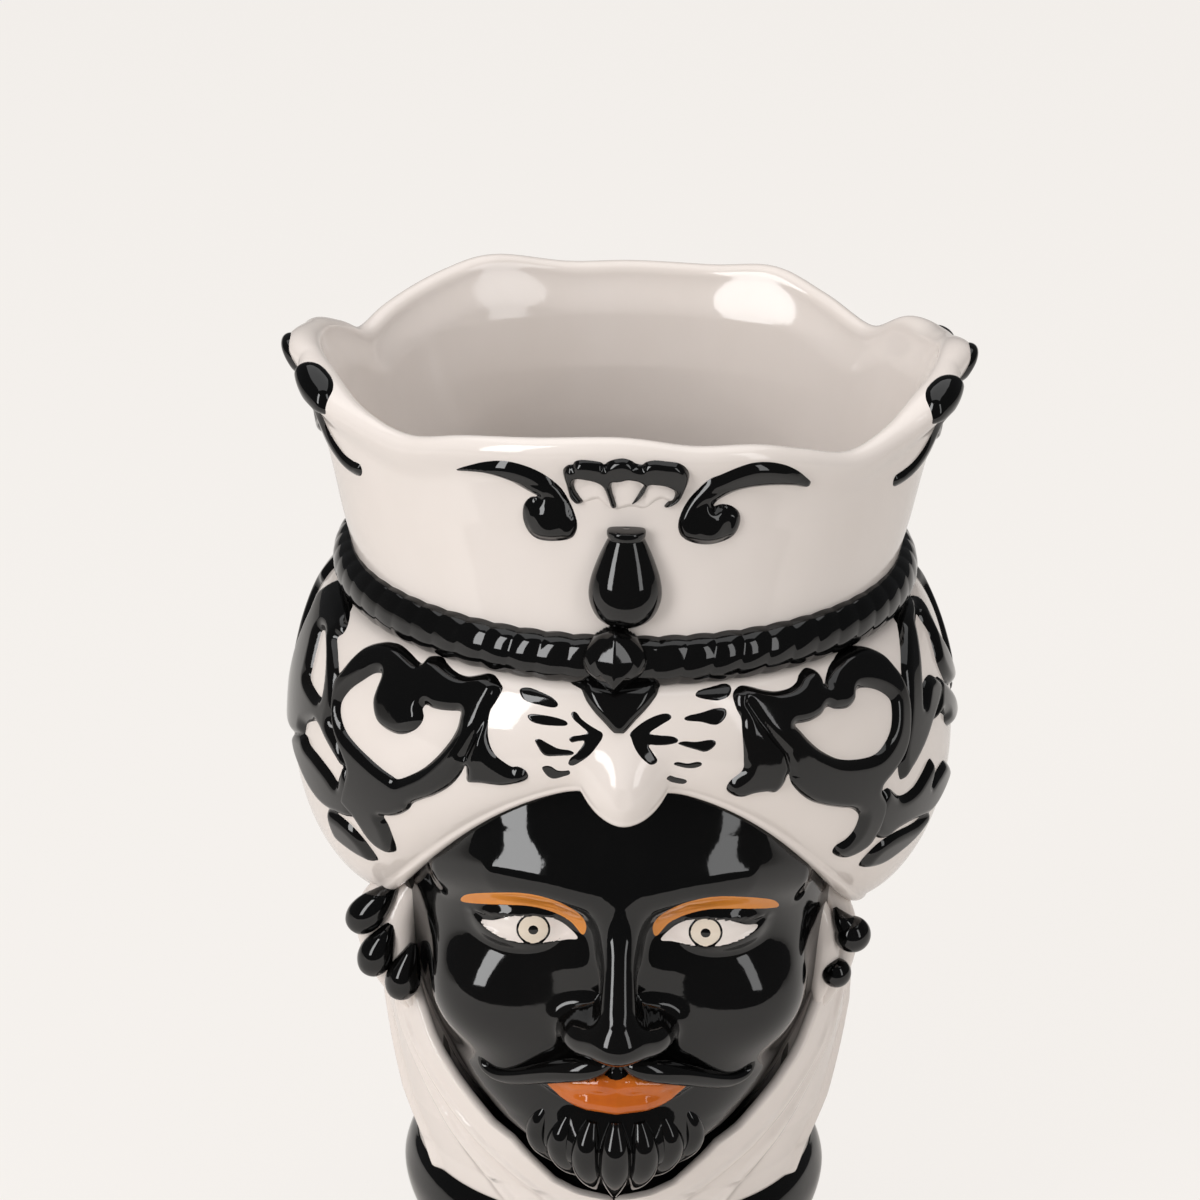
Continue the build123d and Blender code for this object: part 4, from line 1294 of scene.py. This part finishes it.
# The beard is seven lobes of black clay, fuller in the middle and drawn to a point. They
# are luted side by side on the chin.
lobes_of_beard = [
    [(0, 84, 104, 2.2), (0, 86.5, 98, 5), (0, 86, 90, 5.6), (0, 82.5, 82, 4.2), (0, 79, 75, 1)],
    [
        (7.5, 83.5, 104, 2), (9, 84.5, 97, 5), (9, 83, 89, 5.4), (7.5, 79, 81, 3.6),
        (6, 76, 76, 0.8),
    ],
    [
        (15, 80, 104, 1.8), (17.5, 80, 97, 4.8), (17, 78, 90, 4.8), (14.5, 75, 83, 3),
        (12, 73, 79, 0.6),
    ],
    [
        (22, 76.5, 106, 1.4), (25, 75.5, 99, 4), (24.5, 73.5, 92, 4), (22, 71, 86, 2.4),
        (19, 70, 82, 0.6),
    ],
]
strands = []
for index, lobe in enumerate(lobes_of_beard):
    for sign in (-1, 1) if index else (1,):
        strands.append(strand(f"lobe_{index}_{sign}", on_side(sign, lobe)))
beard = gathered("beard_strands", strands)
dressed(beard, black_glaze, "black_glaze", "beard")

# The ears are rolled folds of white clay, luted on the edge of the veil at each side. Each
# has an outer and an inner fold, and the two ears differ, as they are shaped by hand.
left_outer = [
    (-69, 30, 164, 2.5), (-76, 28, 159, 4.6), (-81, 27, 150, 5.2), (-80, 28, 141, 5.2),
    (-76, 30, 131, 4.8), (-70, 33, 122, 3.0), (-68, 34, 118, 0.5),
]
left_inner = [
    (-67, 33, 162, 3.0), (-72, 32, 152, 6.2), (-72, 33, 141, 6.4), (-69, 35, 129, 5.0),
    (-67, 36, 120, 1.0),
]
right_outer = [
    (66, 32, 165, 2.5), (70, 30, 158, 4.6), (72.5, 30, 149, 5.4), (72, 31, 140, 5.6),
    (69.5, 33, 131, 4.6), (66.5, 35, 123, 2.0), (66, 35, 120, 0.5),
]
right_inner = [
    (64, 36, 160, 2.6), (67, 36, 150, 5.0), (67, 36, 139, 5.0), (65.5, 37, 129, 3.0),
    (65, 37, 122, 0.5),
]
for side, outer, inner in (
    ("left", left_outer, left_inner),
    ("right", right_outer, right_inner),
):
    ear = gathered(f"ear_folds_{side}", [strand("outer", outer), strand("inner", inner)])
    dressed(ear, white_glaze, "white_glaze", f"ear_{side}")

# Black drops of clay hang from each ear and are luted to it and to the veil: drawn out
# like petals on the left and round like berries on the right.
petals = [
    [
        (-72.6, 34, 162.6, 1.4), (-76, 36, 159, 4), (-80.5, 36, 154, 6), (-84, 35, 149.8, 5.7),
        (-86.3, 34, 147, 3), (-86.8, 34, 146.2, 0.3),
    ],
    [
        (-73.6, 37, 149.6, 1.4), (-75.6, 38.5, 145.6, 4), (-78.2, 38.5, 140.4, 6),
        (-79.6, 38, 135.8, 5.6), (-80.4, 37, 132.4, 3), (-80.6, 37, 131.6, 0.3),
    ],
    [
        (-66.4, 39, 143.6, 1.2), (-67.6, 40, 139, 3.8), (-69.4, 40.5, 133, 5.9),
        (-70.4, 40, 128.4, 5.6), (-70.9, 39, 125, 3), (-71, 39, 124.2, 0.3),
    ],
]
left_drops = gathered("drops_left", [strand("petal", points) for points in petals])
dressed(left_drops, black_glaze, "black_glaze", "earring_drops_left")


def berry(place, radius):
    bpy.ops.object.select_all(action="DESELECT")
    x, forward, level = place
    bpy.ops.mesh.primitive_uv_sphere_add(
        segments=48, ring_count=28, radius=radius * MM, location=(x * MM, -forward * MM, level * MM)
    )
    bpy.ops.object.transform_apply(location=True)
    return bpy.context.object


berry_stalk = [
    (69.6, 37, 158.4, 0.6), (70.8, 38, 156, 2.4), (73.4, 38.5, 152.5, 4.2), (75.4, 38, 149.5, 5),
]
berries = [berry((75.6, 38, 149.4), 6.0), berry((70.8, 39, 135.9), 4.9)]
right_drops = gathered("drops_right", berries + [strand("stalk", berry_stalk)])
dressed(right_drops, black_glaze, "black_glaze", "earring_drops_right")

# Inside the veil a turned black neck carries the jaw down to the collar, on which it is
# luted. Little of it is seen between the veil and the beard.
neck_line = rounded([(60.0, 58.0), (58.5, 70), (57.5, 82), (58, 90)])
neck = turned("neck_inside", neck_line + [(52, 90), (51, 58)])
dressed(neck, black_glaze, "black_glaze", "neck")
